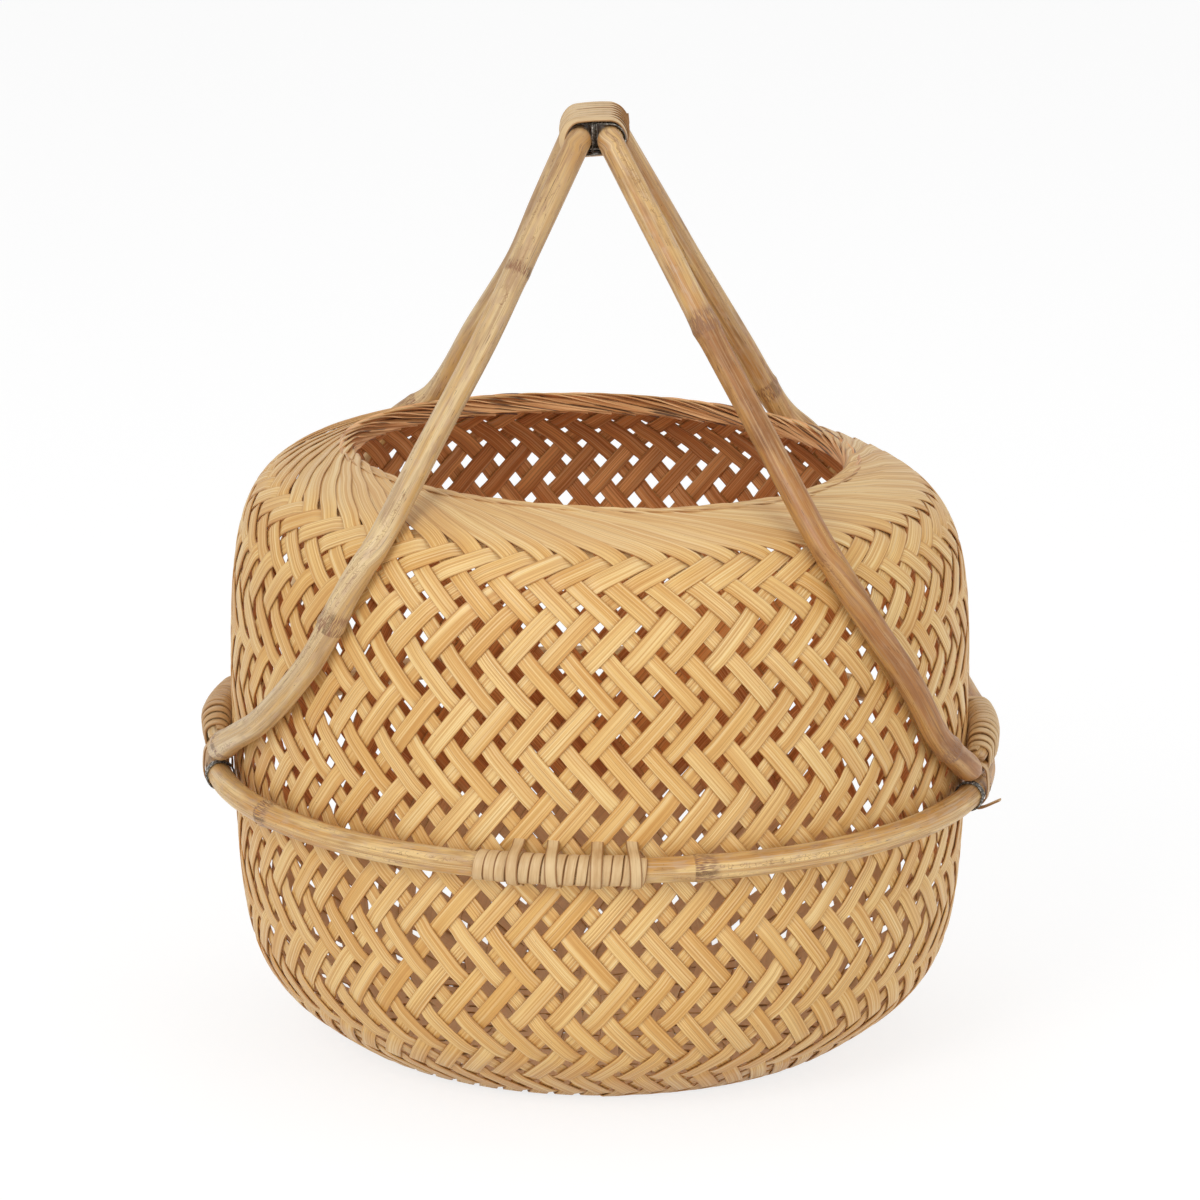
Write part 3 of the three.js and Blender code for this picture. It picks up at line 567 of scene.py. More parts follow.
def split_bamboo(name, pale, warm, fibre, *folded, floor_light_painted=False):
    """Split bamboo, planed by hand: satin, yellow in the middle and orange towards one edge, with lines of
    fibre along each splint. The finest, 0.2 mm apart, are drawn 0.4 mm wide to show at all. Its edges are
    darkened as painted shade between the strips, and the fan of the mouth is paled as a painted sheen. Where
    it is folded over the rim it is layered, with painted shade in the slits, and browner towards the back as
    painted shade."""
    tree = new_material(name)
    line, tone, fan = strip_values(tree, "tone", "fan")
    slow, bands, fine, hair, specks = fibre_noises(
        tree, line, (90, 12, 1, 3.1), (200, 2.4, 2, 7.7), (160, 0.75, 2, 1.3), (120, 0.42, 1, 9.2),
        (3.5, 0.8, 1, 6.6))
    dark = mixed_colour(fibre, linear("#74401A"), 0.5)
    across = node(tree, "ShaderNodeSeparateXYZ", {0: line}).outputs[1]
    mixed = node(tree, "ShaderNodeMath", {0: tone, 1: 0.6, 2: slow}, operation="MULTIPLY_ADD").outputs[0]
    aside = node(tree, "ShaderNodeMath", {0: slow, 1: 0.03, 2: across}, operation="MULTIPLY_ADD").outputs[0]
    # painted shade: the splints' edges are darkened for the shadow that falls between neighbouring strips
    edge = edge_share(tree, line, 4.1, 4.6)
    edge_shade = node(tree, "ShaderNodeMath", {0: edge, 1: slow}, operation="MULTIPLY").outputs[0]
    colour = tinted(
        tree, pale,
        (warm, mixed, 0.3, 1.25, 1),
        (mixed_colour(warm, fibre, 0.35), aside, 0.0145, 0.0195, 0.5),
        (mixed_colour(warm, fibre, 0.55), bands, 0.46, 0.68, 0.5),
        (fibre, fine, 0.46, 0.64, 0.5),
        ("#F8E6BC", fine, 0.5, 0.34, 0.3),
        (dark, hair, 0.56, 0.7, 0.45),
        (dark, edge_shade, 0.15, 0.5, 0.55),
        ("#5E3A1E", specks, 0.79, 0.83, 0.6),
        # painted sheen: the fan of the mouth is paled and greyed where grazing light would gloss it
        ("#D8BE98", fan, 0, 1, 0.22))
    if folded:
        light, shaded = folded
        # painted shade: dark slits for the shadowed gaps between the folded layers of the rim
        slit_shade = fibre_noises(tree, line, (42, 1.2, 1, 11.4))[0]
        layers = tinted(tree, light, (shaded, bands, 0.42, 0.62, 1), (fibre, hair, 0.5, 0.66, 0.5),
                        ("#4E2C18", slit_shade, 0.56, 0.62, 0.9))
        # the folded rim's browner, layered colours are painted shade, shown towards the back
        colour = tinted(tree, colour, (layers, fan, 1.1, 1.7, 1))
    if floor_light_painted:
        # the colour is multiplied warmer towards the base, and near the base mixed paler as painted light
        # from the floor coming in through the holes
        place = node(tree, "ShaderNodeTexCoord").outputs["Object"]
        height = node(tree, "ShaderNodeSeparateXYZ", {0: place}).outputs[2]
        colour = tinted(tree, colour, ("#FFEACA", height, 0.28, 0.2, 1), blend_type="MULTIPLY")
        colour = tinted(tree, colour, ("#F6D8A6", height, 0.1, 0.05, 0.8))
    lines = node(tree, "ShaderNodeMath", {0: fine, 1: bands}, operation="ADD").outputs[0]
    rough = share_where(tree, (fine, 0.3, 0.8, 0.4, 0.58))
    finish_material(tree, colour, rough, lines, 0.15, **{"IOR": 1.5, "Specular IOR Level": 0.45})


def inner_bamboo(name, light, dark, fibre):
    """Split bamboo's inner face, the soft side of the cane's wall: darker and redder than its outer face,
    partly as its own colour and partly as painted shade of the basket's inside. Towards the base it is
    tinted warmer, and near the base it is painted paler, as painted light from the floor through the holes."""
    split_bamboo(name, light, dark, fibre, floor_light_painted=True)


def cane_skin(name, light, warm, dark):
    """Smooth skin of a whole cane: satin, in pale, orange and brown stretches, with curled scars, grey
    scratches, dashes, specks, hairline cracks and a frayed ring at each node."""
    tree = new_material(name)
    line, node_mark, browned = strip_values(tree, "tone", "fan")
    stretches, patches, mottle, streaks, fine, dashes = fibre_noises(
        tree, line, (95, 8, 2, 3.6), (34, 7, 3, 2.4), (9, 3.2, 3, 1.9), (80, 1.7, 3, 5.5),
        (26, 0.45, 2, 8.1), (9, 0.55, 1, 4.2))
    specks, cracks, scratches, curls, frays = fibre_noises(
        tree, line, (1.7, 0.9, 1, 7.3), (70, 0.55, 1, 6.3), (38, 0.7, 2, 12.5), (3.4, 2.6, 1, 10.8),
        (5, 0.5, 1, 5.9))
    curl = node(tree, "ShaderNodeMath", {0: curls, 1: 0.56}, operation="SUBTRACT").outputs[0]
    curl = node(tree, "ShaderNodeMath", {0: curl}, operation="ABSOLUTE").outputs[0]
    scarred = share_where(tree, (curl, 0.035, 0.008, 0, 1), (stretches, 0.44, 0.36, 0, 0.6))
    frayed = share_where(tree, (node_mark, 0.02, 0.3, 0, 1), (frays, 0.42, 0.6, 0, 1))
    colour = tinted(
        tree, light,
        (warm, stretches, 0.42, 0.6, 1),
        (dark, patches, 0.48, 0.7, 0.85),
        ("#C3A184", mottle, 0.46, 0.68, 0.5),
        (dark, streaks, 0.52, 0.7, 0.65),
        ("#EBD3A4", streaks, 0.46, 0.3, 0.5),
        ("#86592E", fine, 0.52, 0.72, 0.45),
        ("#5C3A1E", dashes, 0.69, 0.75, 0.75),
        ("#553319", specks, 0.74, 0.79, 0.7),
        ("#452812", cracks, 0.73, 0.78, 0.85),
        ("#C9B193", scratches, 0.54, 0.72, 0.6),
        ("#8E6236", scarred))
    colour = tinted(tree, colour, ("#E5D2B9", browned), blend_type="MULTIPLY")
    colour = tinted(tree, colour, ("#94694A", frayed), ("#6B4423", node_mark, 0.5, 0.85, 0.85))
    rough = share_where(tree, (patches, 0.3, 0.7, 0.36, 0.54))
    ridges = node(tree, "ShaderNodeMath", {0: streaks, 1: frayed}, operation="ADD").outputs[0]
    finish_material(tree, colour, rough, ridges, 0.14, **{"IOR": 1.5, "Specular IOR Level": 0.5})


def rattan_peel(name, light, dark):
    """Rattan peel, split off the cane's skin: satin on its outer face, with fine lengthwise lines, and its
    edges darkened as painted shade between the turns.
    """
    tree = new_material(name)
    line, tone = strip_values(tree, "tone")
    slow, streaks, fine = fibre_noises(tree, line, (14, 3, 2, 2.2), (30, 0.8, 2, 5.1), (18, 0.3, 2, 7.4))
    mixed = node(tree, "ShaderNodeMath", {0: tone, 1: slow}, operation="ADD").outputs[0]
    colour = tinted(
        tree, light,
        (dark, mixed, 0.55, 1.5, 1),
        (dark, streaks, 0.5, 0.75, 0.5),
        ("#7E5228", fine, 0.58, 0.8, 0.4),
        # painted shade: each strip's edges are darkened for the shadow between neighbouring turns
        (mixed_colour(dark, linear("#6E4522"), 0.45), edge_share(tree, line, 2.25, 2.75)))
    rough = share_where(tree, (slow, 0.3, 0.7, 0.38, 0.55))
    finish_material(tree, colour, rough, streaks, 0.1, **{"IOR": 1.5, "Specular IOR Level": 0.45})


def iron_wire(name, colour):
    """Annealed iron wire: a dull black scale from the fire, worn bright in places."""
    tree = new_material(name)
    place = node(tree, "ShaderNodeTexCoord").outputs["Object"]
    worn = node(tree, "ShaderNodeTexNoise", {"Vector": place, "Scale": 900.0, "Detail": 2.0}).outputs["Fac"]
    shade = tinted(tree, colour, ("#BDB8B0", worn, 0.45, 0.75, 1))
    finish_material(tree, shade, 0.38, worn, 0.02, Metallic=0.85)


def seen_itself(tree):
    """1 for a ray that shows the thing itself, to the camera, in a gloss or through glass, and else 0."""
    ray = node(tree, "ShaderNodeLightPath").outputs
    seen = node(tree, "ShaderNodeMath", {0: ray["Is Camera Ray"], 1: ray["Is Glossy Ray"]}, operation="ADD")
    seen = node(tree, "ShaderNodeMath", {0: seen.outputs[0], 1: ray["Is Transmission Ray"]},
                operation="ADD", use_clamp=True)
    return seen.outputs[0]


def plain_backdrop(name, colour):
    """Seamless paper: lit paper to every surface, and near white to the camera, with the shadow kept."""
    tree = new_material(name)
    paper = node(tree, "ShaderNodeBsdfDiffuse", {"Color": colour})
    shaded = node(tree, "ShaderNodeBsdfDiffuse", {"Color": linear("#8F8F8F")})
    glow = node(tree, "ShaderNodeEmission", {"Color": linear("#FFFFFF"), "Strength": 0.785})
    bright = node(tree, "ShaderNodeAddShader", {0: shaded.outputs[0], 1: glow.outputs[0]})
    both = node(tree, "ShaderNodeMixShader",
                {0: seen_itself(tree), 1: paper.outputs[0], 2: bright.outputs[0]})
    node(tree, "ShaderNodeOutputMaterial", {"Surface": both.outputs[0]})


# each finish with the colours that it takes
FINISHES = {
    "split bamboo": (split_bamboo, "splint_pale splint_warm splint_fibre"),
    "split bamboo, folded ends": (split_bamboo, "splint_pale splint_warm splint_fibre rim_light rim_dark"),
    "split bamboo, inner face": (inner_bamboo, "inner_light inner_dark inner_fibre"),
    "cane skin": (cane_skin, "cane_light cane_warm cane_dark"),
    "cane skin, weathered": (cane_skin, "pale_light pale_warm pale_dark"),
    "cane skin, browned": (cane_skin, "brown_light brown_warm brown_dark"),
    "rattan peel": (rattan_peel, "peel_light peel_dark"),
    "iron wire": (iron_wire, "wire"),
    "seamless paper": (plain_backdrop, "floor"),
}


def look(name):
    """One of the basket's materials, made when it is first asked for."""
    if name not in bpy.data.materials:
        make, colours = FINISHES[name]
        make(name, *(getattr(bpy.context.scene.basket_colours, each) for each in colours.split()))
    return bpy.data.materials[name]


# the woven body


def weave_all():
    """Every splint of the mat, cut into what belongs to the wall, the base and the rim."""
    weave = bpy.context.scene.basket_weave
    random = np.random.default_rng(WEAVE_SEED)
    parts = {key: Strips() for key in ("rising", "leaning", "base", "rim")}
    half_count = weave.splints // 4
    cut = int(round(MOUTH_ROW / ROW_STEP))
    for along_v in (True, False):
        for i in range(2 * half_count):
            across = i - half_count + 0.5
            rings, run, x, rows, first, last, tips = whole_splint(across, along_v, random, weave)
            tone = random.random()
            # painted shade: the folded rim takes more of its browner, layered colours towards the back of
            # the basket
            browned = RIM_FRONT_SHADE + (1 - RIM_FRONT_SHADE) * smoothstep(rings[:, 0, 1], -60, 40)
            # fan is the share of painted sheen on the fan of the mouth; above 1 it gives the folded rim its
            # browner, layered colours
            fan = smoothstep(rows, LAST_OPEN_ROW - 1, LAST_OPEN_ROW + 3)
            fan = fan + browned * smoothstep(rows, MOUTH_ROW - 1, MOUTH_ROW + 4)
            stretches = [("base", first - 1, last + 1)]
            if tips[0][1]:
                stretches += [("rising", 0, first)]
            else:
                stretches += [("leaning", first - 1 - cut, first), ("rim", 0, first - cut)]
            if tips[1][1]:
                stretches += [("rising", last, len(rows))]
            else:
                stretches += [("leaning", last, last + cut + 1), ("rim", last + cut, len(rows))]
            for key, start, stop in stretches:
                parts[key].add(rings[start:stop], run[start:stop], x[start:stop], tone, INNER_SIDES,
                               fan[start:stop])
    return parts


def shingle(place, rows, depth, width, thickness, weave):
    """Above the last open row each leaning splint lies over the one before it, like a fan of slats."""
    radius = np.hypot(place[:, 0], place[:, 1])
    ahead = np.gradient(place, axis=0)
    along = np.linalg.norm(ahead, axis=1)
    turning = np.abs(place[:, 0] * ahead[:, 1] - place[:, 1] * ahead[:, 0]) / radius
    rise = np.sqrt(np.maximum(along ** 2 - turning ** 2, 1e-9)) / along
    pitch = 2 * math.pi * radius / weave.splints * rise
    share = smoothstep(rows, LAST_OPEN_ROW + 0.3, LAST_OPEN_ROW + 3)
    slope = np.minimum(FAN_OVERLAP * thickness / pitch, FAN_STEEPEST) * share
    stacked = 0.5 + slope * width / 2
    return -slope, depth * (1 - share) + stacked * share


# canes and bindings, as the CAD part has them: angles in degrees from the side, and the rest in millimetres

HOOP_HEIGHT, HOOP_SIDE_SLOPE, HOOP_FRONT_SLOPE, HOOP_ROOM = 151.0, 0.0097, 0.0116, 2.6
SEAT_GAP, FLAT_ROOM, TURN_GAP = 0.35, 0.3, 0.7
GRIP_HEIGHT, GRIP_SHIFT, GRIP_GAP, GRIP_END_ROOM, LEG_ROOM, BEND_STRAIGHT = 498.0, -3.0, 3.0, 2.0, 0.9, 18.0
TONGUE_WIDTH, TONGUE_THICKNESS, TONGUE_STEP, CROOK_TAPER, LEG_SAMPLES = 10.0, 5.0, 2.8, 2.6, 9
BELT_TURNS, BELT_PEEL, SCARF_PLACE = 14.5, 5.2, -21.5
TIE_WIDTH, TIE_RISE = 6.5, 4.2
TIES = ((-45.2, 0.4), (-24.1, 0.2), (-2.6, 0.45), (18.5, 0.25))  # place along the hoop, and tone
SIDE_TURNS, SIDE_PEEL, STRAP_WIDTH, STRAP_SLANT, STRAP_PLACE, LAP_ROOM = 13.0, 4.9, 5.6, 5.0, 4.0, 4.0
TOP_TURNS, TOP_PEEL, TOP_WIRE_TURNS, TOP_WIRE, TOP_TAIL = 7.0, 5.9, 4.0, 1.2, 4.5
FOOT_WIRE, FOOT_WIRE_TURNS, WIRE_PLACE = 1.0, 3.0, 1.2
EASE = 0.1  # room under a binding, so that its inner side doesn't touch what it binds
BELT_STEPS, WIRE_STEPS, TOP_STEPS = 40, 32, 64  # points in a turn
LAP_STEPS, LAP_THINNED, LAP_NARROWED = 12, 0.62, 0.35
PAIR_HALF = 22.0
CANE_SIDES, WIRE_SIDES = 20, 8
NODE_HALF, NODE_TAIL, NODE_GROOVE, GROOVE_HALF = 2.6, 7.0, 1.6, 0.7
HOOP_NODES = ((0.789, 1.1), (0.589, 1.0), (0.41, 1.0), (0.19, 1.0), (0.965, 0.9))

# Each handle: its side, the angles of its crook, tongue and lap, how far its legs bow, its nodes along it
# with their strength, its finish, the loose ends of its lashing and strap, the lashing's tone, and its legs'
# stations, each an angle and a share of the height from the crook to the mouth

HANDLES = {
    "left": {
        "side": -1, "crook": -11.1, "tongue_end": 6, "lap": (-5.9, 17.5), "bows": (3, 6.5),
        "nodes": ((0.07, 0.7), (0.205, 1.1), (0.4, 0.5), (0.74, 1.0)),
        "finish": "cane skin, weathered", "tails": (0.0, 0.0), "tone": 0.6,
        "front": ((-28.8, 0.186), (-37.7, 0.34), (-44.6, 0.506), (-49.7, 0.71), (-52.6, 0.835)),
        "back": ((23.5, 0.09), (29.5, 0.19), (37.7, 0.344), (44.6, 0.511), (51, 0.75), (58.7, 0.916)),
    },
    "right": {
        "side": 1, "crook": -18.7, "tongue_end": 2, "lap": (-13.5, 12), "bows": (1, 1),
        "nodes": ((0.1, 1.2), (0.355, 1.2), (0.7, 1.0)),
        "finish": "cane skin, browned", "tails": (8.0, 15.0), "tone": 0.3,
        "front": ((-27.5, 0.12), (-32.7, 0.22), (-38.7, 0.41), (-45.4, 0.61), (-50.3, 0.79), (-51.6, 0.885)),
        "back": ((19, 0.08), (27, 0.177), (37, 0.351), (45, 0.538), (50.6, 0.757), (55.7, 0.906)),
    },
}
UP = np.array((0.0, 0.0, 1.0))


def outside(height, gap):
    """Radius and height of a point gap out from the wall at a height."""
    wall = LINE[:int(WALL_RUN / LINE_STEP)]
    radius, level, out, up = on_line(np.interp(height, wall[:, 1], RUN[:len(wall)]))
    return radius + out * gap, level + up * gap


def hoop_height(x, y):
    return HOOP_HEIGHT - x * HOOP_SIDE_SLOPE + y * HOOP_FRONT_SLOPE


def through(knots, steps):
    """A smooth line through knots of any size, with steps points from each knot to the next."""
    p = np.array(knots, float)
    p = np.vstack([2 * p[0] - p[1], p, 2 * p[-1] - p[-2]])
    line = []
    for a, b, c, d in zip(p, p[1:], p[2:], p[3:]):
        gaps = [max(np.linalg.norm(y[:3] - x[:3]), 1e-6) ** 0.5 for x, y in ((a, b), (b, c), (c, d))]
        leave = ((b - a) / gaps[0] - (c - a) / (gaps[0] + gaps[1]) + (c - b) / gaps[1]) * gaps[1]
        reach = ((c - b) / gaps[1] - (d - b) / (gaps[1] + gaps[2]) + (d - c) / gaps[2]) * gaps[1]
        for t in np.arange(steps) / steps:
            line.append(b + leave * t + (3 * (c - b) - 2 * leave - reach) * t ** 2
                        + (2 * (b - c) + leave + reach) * t ** 3)
    line.append(p[-2])
    return np.array(line)


def spline_at(stations, share):
    """A point on the plane spline through stations at a share of its knots."""
    p = np.array(stations, float)
    place = share * (len(p) - 1)
    i = min(int(place), len(p) - 2)
    t = place - i
    a, b, c, d = p[max(i - 1, 0)], p[i], p[i + 1], p[min(i + 2, len(p) - 1)]
    leave, reach = (c - a) / 2, (d - b) / 2
    return ((2 * b - 2 * c + leave + reach) * t ** 3 + (3 * c - 3 * b - 2 * leave - reach) * t ** 2
            + leave * t + b)


class Binding:
    """Where the hoop, canes and bindings lie, from the sizes of the canes."""

    def __init__(self):
        sizes = bpy.context.scene.basket_canes
        self.hoop_half = sizes.hoop / MM / 2
        self.leg = sizes.handle / MM / 2
        self.peel = sizes.peel / MM
        self.swell = sizes.node_swell / MM
        self.gap = self.peel + 2 * SEAT_GAP + FLAT_ROOM
        self.hoop_radius = outside(HOOP_HEIGHT, HOOP_ROOM + self.hoop_half)[0]
        self.tongue_floor = self.hoop_half + self.gap
        self.crook_rise = self.tongue_floor + self.leg
        self.lap_rise = self.crook_rise + TONGUE_THICKNESS + SEAT_GAP
        self.lap_radius = outside(HOOP_HEIGHT + self.lap_rise, self.gap + self.leg)[0]
        self.belt_line = self.hoop_half + SEAT_GAP + self.peel / 2
        self.top_travel = TOP_TURNS * (TOP_PEEL + TURN_GAP)
        self.grip_length = self.top_travel + TOP_PEEL + 2 * GRIP_END_ROOM

    def over_hoop(self, side, degrees, rise):
        x = side * self.lap_radius * math.cos(math.radians(degrees))
        y = self.lap_radius * math.sin(math.radians(degrees))
        return np.array((x, y, hoop_height(x, y) + rise))

    def leg_on_wall(self, side, start, rise, stations):
        crook_height = self.over_hoop(side, start, self.crook_rise)[2]
        line = ((start, (rise - self.crook_rise) / (MOUTH_HEIGHT - crook_height)),) + stations
        knots = []
        for i in range(1, LEG_SAMPLES + 1):
            degrees, share = spline_at(line, i / LEG_SAMPLES)
            height = crook_height + (MOUTH_HEIGHT - crook_height) * share
            gap = self.gap + (LEG_ROOM - self.gap) * i / LEG_SAMPLES
            radius, level = outside(height, gap + self.leg)
            x = side * radius * math.cos(math.radians(degrees))
            y = radius * math.sin(math.radians(degrees))
            knots.append((x, y, level + float(lean(x, height)), self.leg, self.leg))
        return knots

    def leg_in_air(self, shoulder, grip_end, side, bow):
        shoulder = np.array(shoulder[:3])
        middle = (shoulder + grip_end) / 2
        middle[0] -= side * bow
        bend = (grip_end - middle) / np.linalg.norm(grip_end - middle) * BEND_STRAIGHT
        before = grip_end - bend
        places = ((shoulder + middle) / 2, middle, (middle + before) / 2, before, grip_end - 0.35 * bend)
        return [(*place, self.leg, self.leg) for place in places]

    def handle(self, route):
        """Knots of one handle cane: tongue, crook, front leg, grip, back leg and the lap over the tongue."""
        side, crook = route["side"], route["crook"]
        grip_x = GRIP_SHIFT + side * (GRIP_GAP / 2 + self.leg)
        front = np.array((grip_x, -self.grip_length / 2, GRIP_HEIGHT))
        back = np.array((grip_x, self.grip_length / 2, GRIP_HEIGHT))
        knots = []
        for angle in np.arange(route["tongue_end"], crook + CROOK_TAPER, -TONGUE_STEP):
            place = self.over_hoop(side, angle, self.tongue_floor + TONGUE_THICKNESS / 2)
            knots.append((*place, TONGUE_WIDTH / 2, TONGUE_THICKNESS / 2))
        for share in (0, 0.5, 1):
            thick = TONGUE_THICKNESS / 2 + (self.leg - TONGUE_THICKNESS / 2) * share
            wide = TONGUE_WIDTH / 2 + (self.leg - TONGUE_WIDTH / 2) * share
            place = self.over_hoop(side, crook + CROOK_TAPER * (1 - share), self.tongue_floor + thick)
            knots.append((*place, wide, thick))
        front_leg = self.leg_on_wall(side, crook, self.crook_rise, route["front"])
        back_leg = self.leg_on_wall(side, route["lap"][1], self.lap_rise, route["back"])[::-1]
        knots += front_leg + self.leg_in_air(front_leg[-1], front, side, route["bows"][0])
        knots += [(*(front + (back - front) * t), self.leg, self.leg) for t in (0, 0.06, 0.5, 0.94, 1)]
        knots += self.leg_in_air(back_leg[0], back, side, route["bows"][1])[::-1] + back_leg
        for i in range(LAP_STEPS + 1):
            angle = route["lap"][1] + (route["lap"][0] - route["lap"][1]) * i / LAP_STEPS
            shave = float(smoothstep(i, LAP_STEPS - 4, LAP_STEPS))
            half = self.leg * (1 - LAP_THINNED * shave)
            place = self.over_hoop(side, angle, self.lap_rise - (self.leg - half))
            knots.append((*place, self.leg * (1 - LAP_NARROWED * shave), half))
        return np.array(knots)

    def hoop_frame(self, x, y, side=1):
        """The hoop's middle and its outward, upward and lengthwise directions, where it faces x and y."""
        out = np.array((x, y, 0.0))
        middle = self.hoop_radius * out
        middle[2] = hoop_height(middle[0], middle[1])
        return middle, out, UP, np.array((-y, x, 0.0)) * side

    def side_frame(self, side, degrees):
        angle = math.radians(degrees)
        return self.hoop_frame(side * math.cos(angle), math.sin(angle), side)

    def front_frame(self, distance):
        angle = -math.pi / 2 + distance / self.hoop_radius
        return self.hoop_frame(math.cos(angle), math.sin(angle))


def wound(frame_at, outline_at, turns, steps, width, start=0.0, tail=0.0, unevenness=0.0, seed=1):
    """Places, outward directions and widths of one unbroken peel or wire wound round a core. frame_at and
    outline_at give the core at a share of the way, and tail is the length of the loose end."""
    random = np.random.default_rng(seed)
    count = int(round(turns * steps))
    phases = random.random(3) * 2 * math.pi
    place, thick = [], []
    for i in range(count + 1):
        s = i / count
        turn = start + 2 * math.pi * i / steps
        middle, out, up, along = frame_at(s)
        x, y = outline_at(s, turn)
        ahead, behind = outline_at(s, turn + 1e-3), outline_at(s, turn - 1e-3)
        run = np.array((ahead[0] - behind[0], ahead[1] - behind[1]))
        run /= np.linalg.norm(run)
        stray = unevenness * (math.sin(turn * 0.37 + phases[0]) + math.sin(turn * 1.21 + phases[1]))
        place.append(middle + out * x + up * y + along * stray)
        thick.append(out * run[1] - up * run[0])
    if tail > 0:
        away = out * run[0] + up * run[1]
        for share in (0.3, 0.65, 1.0):
            place.append(place[count] + away * tail * share)
            thick.append(thick[count])
    widths = width * (1 + 0.06 * np.sin(np.arange(len(place)) * 0.05 + phases[2]))
    return np.array(place), np.array(thick), widths


def flat_run(frame, line, slant=0.0):
    """Places and outward directions of a flat strip along (out, up) points from a frame's middle."""
    middle, out, up, along = frame
    flat = through(line, 5)
    run = unit(np.gradient(flat, axis=0))
    share = np.linspace(0, 1, len(flat))[:, None]
    place = middle + out * flat[:, :1] + up * flat[:, 1:2] + along * slant * share
    return place, out * run[:, 1:2] - up * run[:, :1]


def circle(radius):
    return lambda s, turn: (radius * math.cos(turn), radius * math.sin(turn))


def round_two(half, reach, turn):
    """A line round two circles side by side, with most of the turn spent on their half circles."""
    step = (turn / (2 * math.pi)) % 1 * 16
    part = step % 8
    mirror = 1 if step < 8 else -1
    if part > 7:
        return mirror * half * (1 - 2 * (part - 7)), mirror * reach
    angle = -math.pi / 2 + math.pi * part / 7
    return mirror * (half + reach * math.cos(angle)), mirror * reach * math.sin(angle)


def ring_turns(sides):
    return 2 * np.pi * np.arange(sides) / sides


WIRE_SECTION = np.column_stack([np.cos(ring_turns(WIRE_SIDES)), np.sin(ring_turns(WIRE_SIDES)) / 2])


def cane_rings(line, nodes, swell):
    """Rings of a cane along a dense line of place, half width and half thickness, with its nodes."""
    place = line[:, :3]
    along = unit(np.gradient(place, axis=0))
    wide = unit(np.cross(along, UP))
    thick = unit(np.cross(wide, along))
    run = run_along(place)
    grow, mark = np.zeros(len(run)), np.zeros(len(run))
    for at, strength in nodes:
        away = run - at * run[-1]
        collar = np.exp(-(away / NODE_HALF) ** 2) + 0.7 * np.exp(-((away - 2.4) / NODE_TAIL) ** 2)
        groove = np.exp(-((away + NODE_GROOVE) / GROOVE_HALF) ** 2)
        grow += swell * strength * collar
        grow -= swell * 0.9 * strength * groove
        mark += 0.8 * min(strength, 1) * groove
        mark += 0.32 * smoothstep(away, -2, 0) * (1 - smoothstep(away, 4 * strength, 13 * strength))
    wander = 0.12 * np.sin(run / 31) + 0.1 * np.sin(run / 12.7 + 1)
    turns = ring_turns(CANE_SIDES)
    half_wide, half_thick = line[:, 3] + grow + wander * 0.5, line[:, 4] + grow + wander * 0.5
    rings = (place[:, None] + wide[:, None] * (half_wide[:, None] * np.cos(turns))[..., None]
             + thick[:, None] * (half_thick[:, None] * np.sin(turns))[..., None])
    return rings, run, turns, np.clip(mark, 0, 1)


def rounded_end(rings, centre, away, half):
    """Closes a cane's cut end with a few shrinking rings."""
    return [centre + (rings - centre) * share + away * half * reach
            for reach, share in ((0.25, 0.97), (0.42, 0.86), (0.5, 0.66), (0.54, 0.3))]


def cane_piece(name, finish, replaced, rings, run, around, mark, browned=0.0):
    """A finished cane. Its tone holds the marks of its nodes, and its fan holds its browned stretches."""
    strips = Strips()
    strips.add(rings, run, np.broadcast_to(around, rings.shape[:2]), mark, fan=browned)
    dress(strips.make(name, [look(finish)]), "cane", replaced)


def peel_piece(name, replaced, place, thick, width, thickness, tone, shift=0.0, tilt=None):
    """A finished strip of rattan peel. shift gives it its own stretch of the fibres' pattern."""
    rings, run, x = strip_rings(place, thick, width, thickness, PEEL_SECTION, tilt)
    strips = Strips()
    strips.add(rings, run + shift, x, tone)
    dress(strips.make(name, [look("rattan peel")]), "peel", replaced)


def wire_piece(name, replaced, width, *lines):
    """Finished iron wire along one or more lines, each with its outward directions."""
    strips = Strips()
    for place, thick in lines:
        rings, run, x = strip_rings(place, thick, width, width, WIRE_SECTION)
        strips.add(rings, run, x, 0.0)
    dress(strips.make(name, [look("iron wire")]), "wire", replaced)


# the stage, in metres

FLOOR_SIZE, FLOOR_BACK, WALL_HEIGHT, CORNER_RADIUS = 16, 3, 9, 3
WORLD_LIGHT = 0.59
LAMP_AIM = Vector((0, 0, 0.22))
LAMPS = (  # name, place, size and power
    ("key", (-1.5, -2.7, 2.15), 1.5, 34.5),
    ("low", (-1.7, -2.6, 0.5), 1.4, 10),
    ("fill", (2.3, -2.4, 1.0), 2.2, 21),
    ("top", (0.2, 0.6, 2.9), 2.0, 11),
)
VIEW_TARGET = Vector((0, 0, 0.2402))
VIEW_DISTANCE, VIEW_PITCH, VIEW_LENS = 4.0, math.radians(14.26), 221.4


# operators


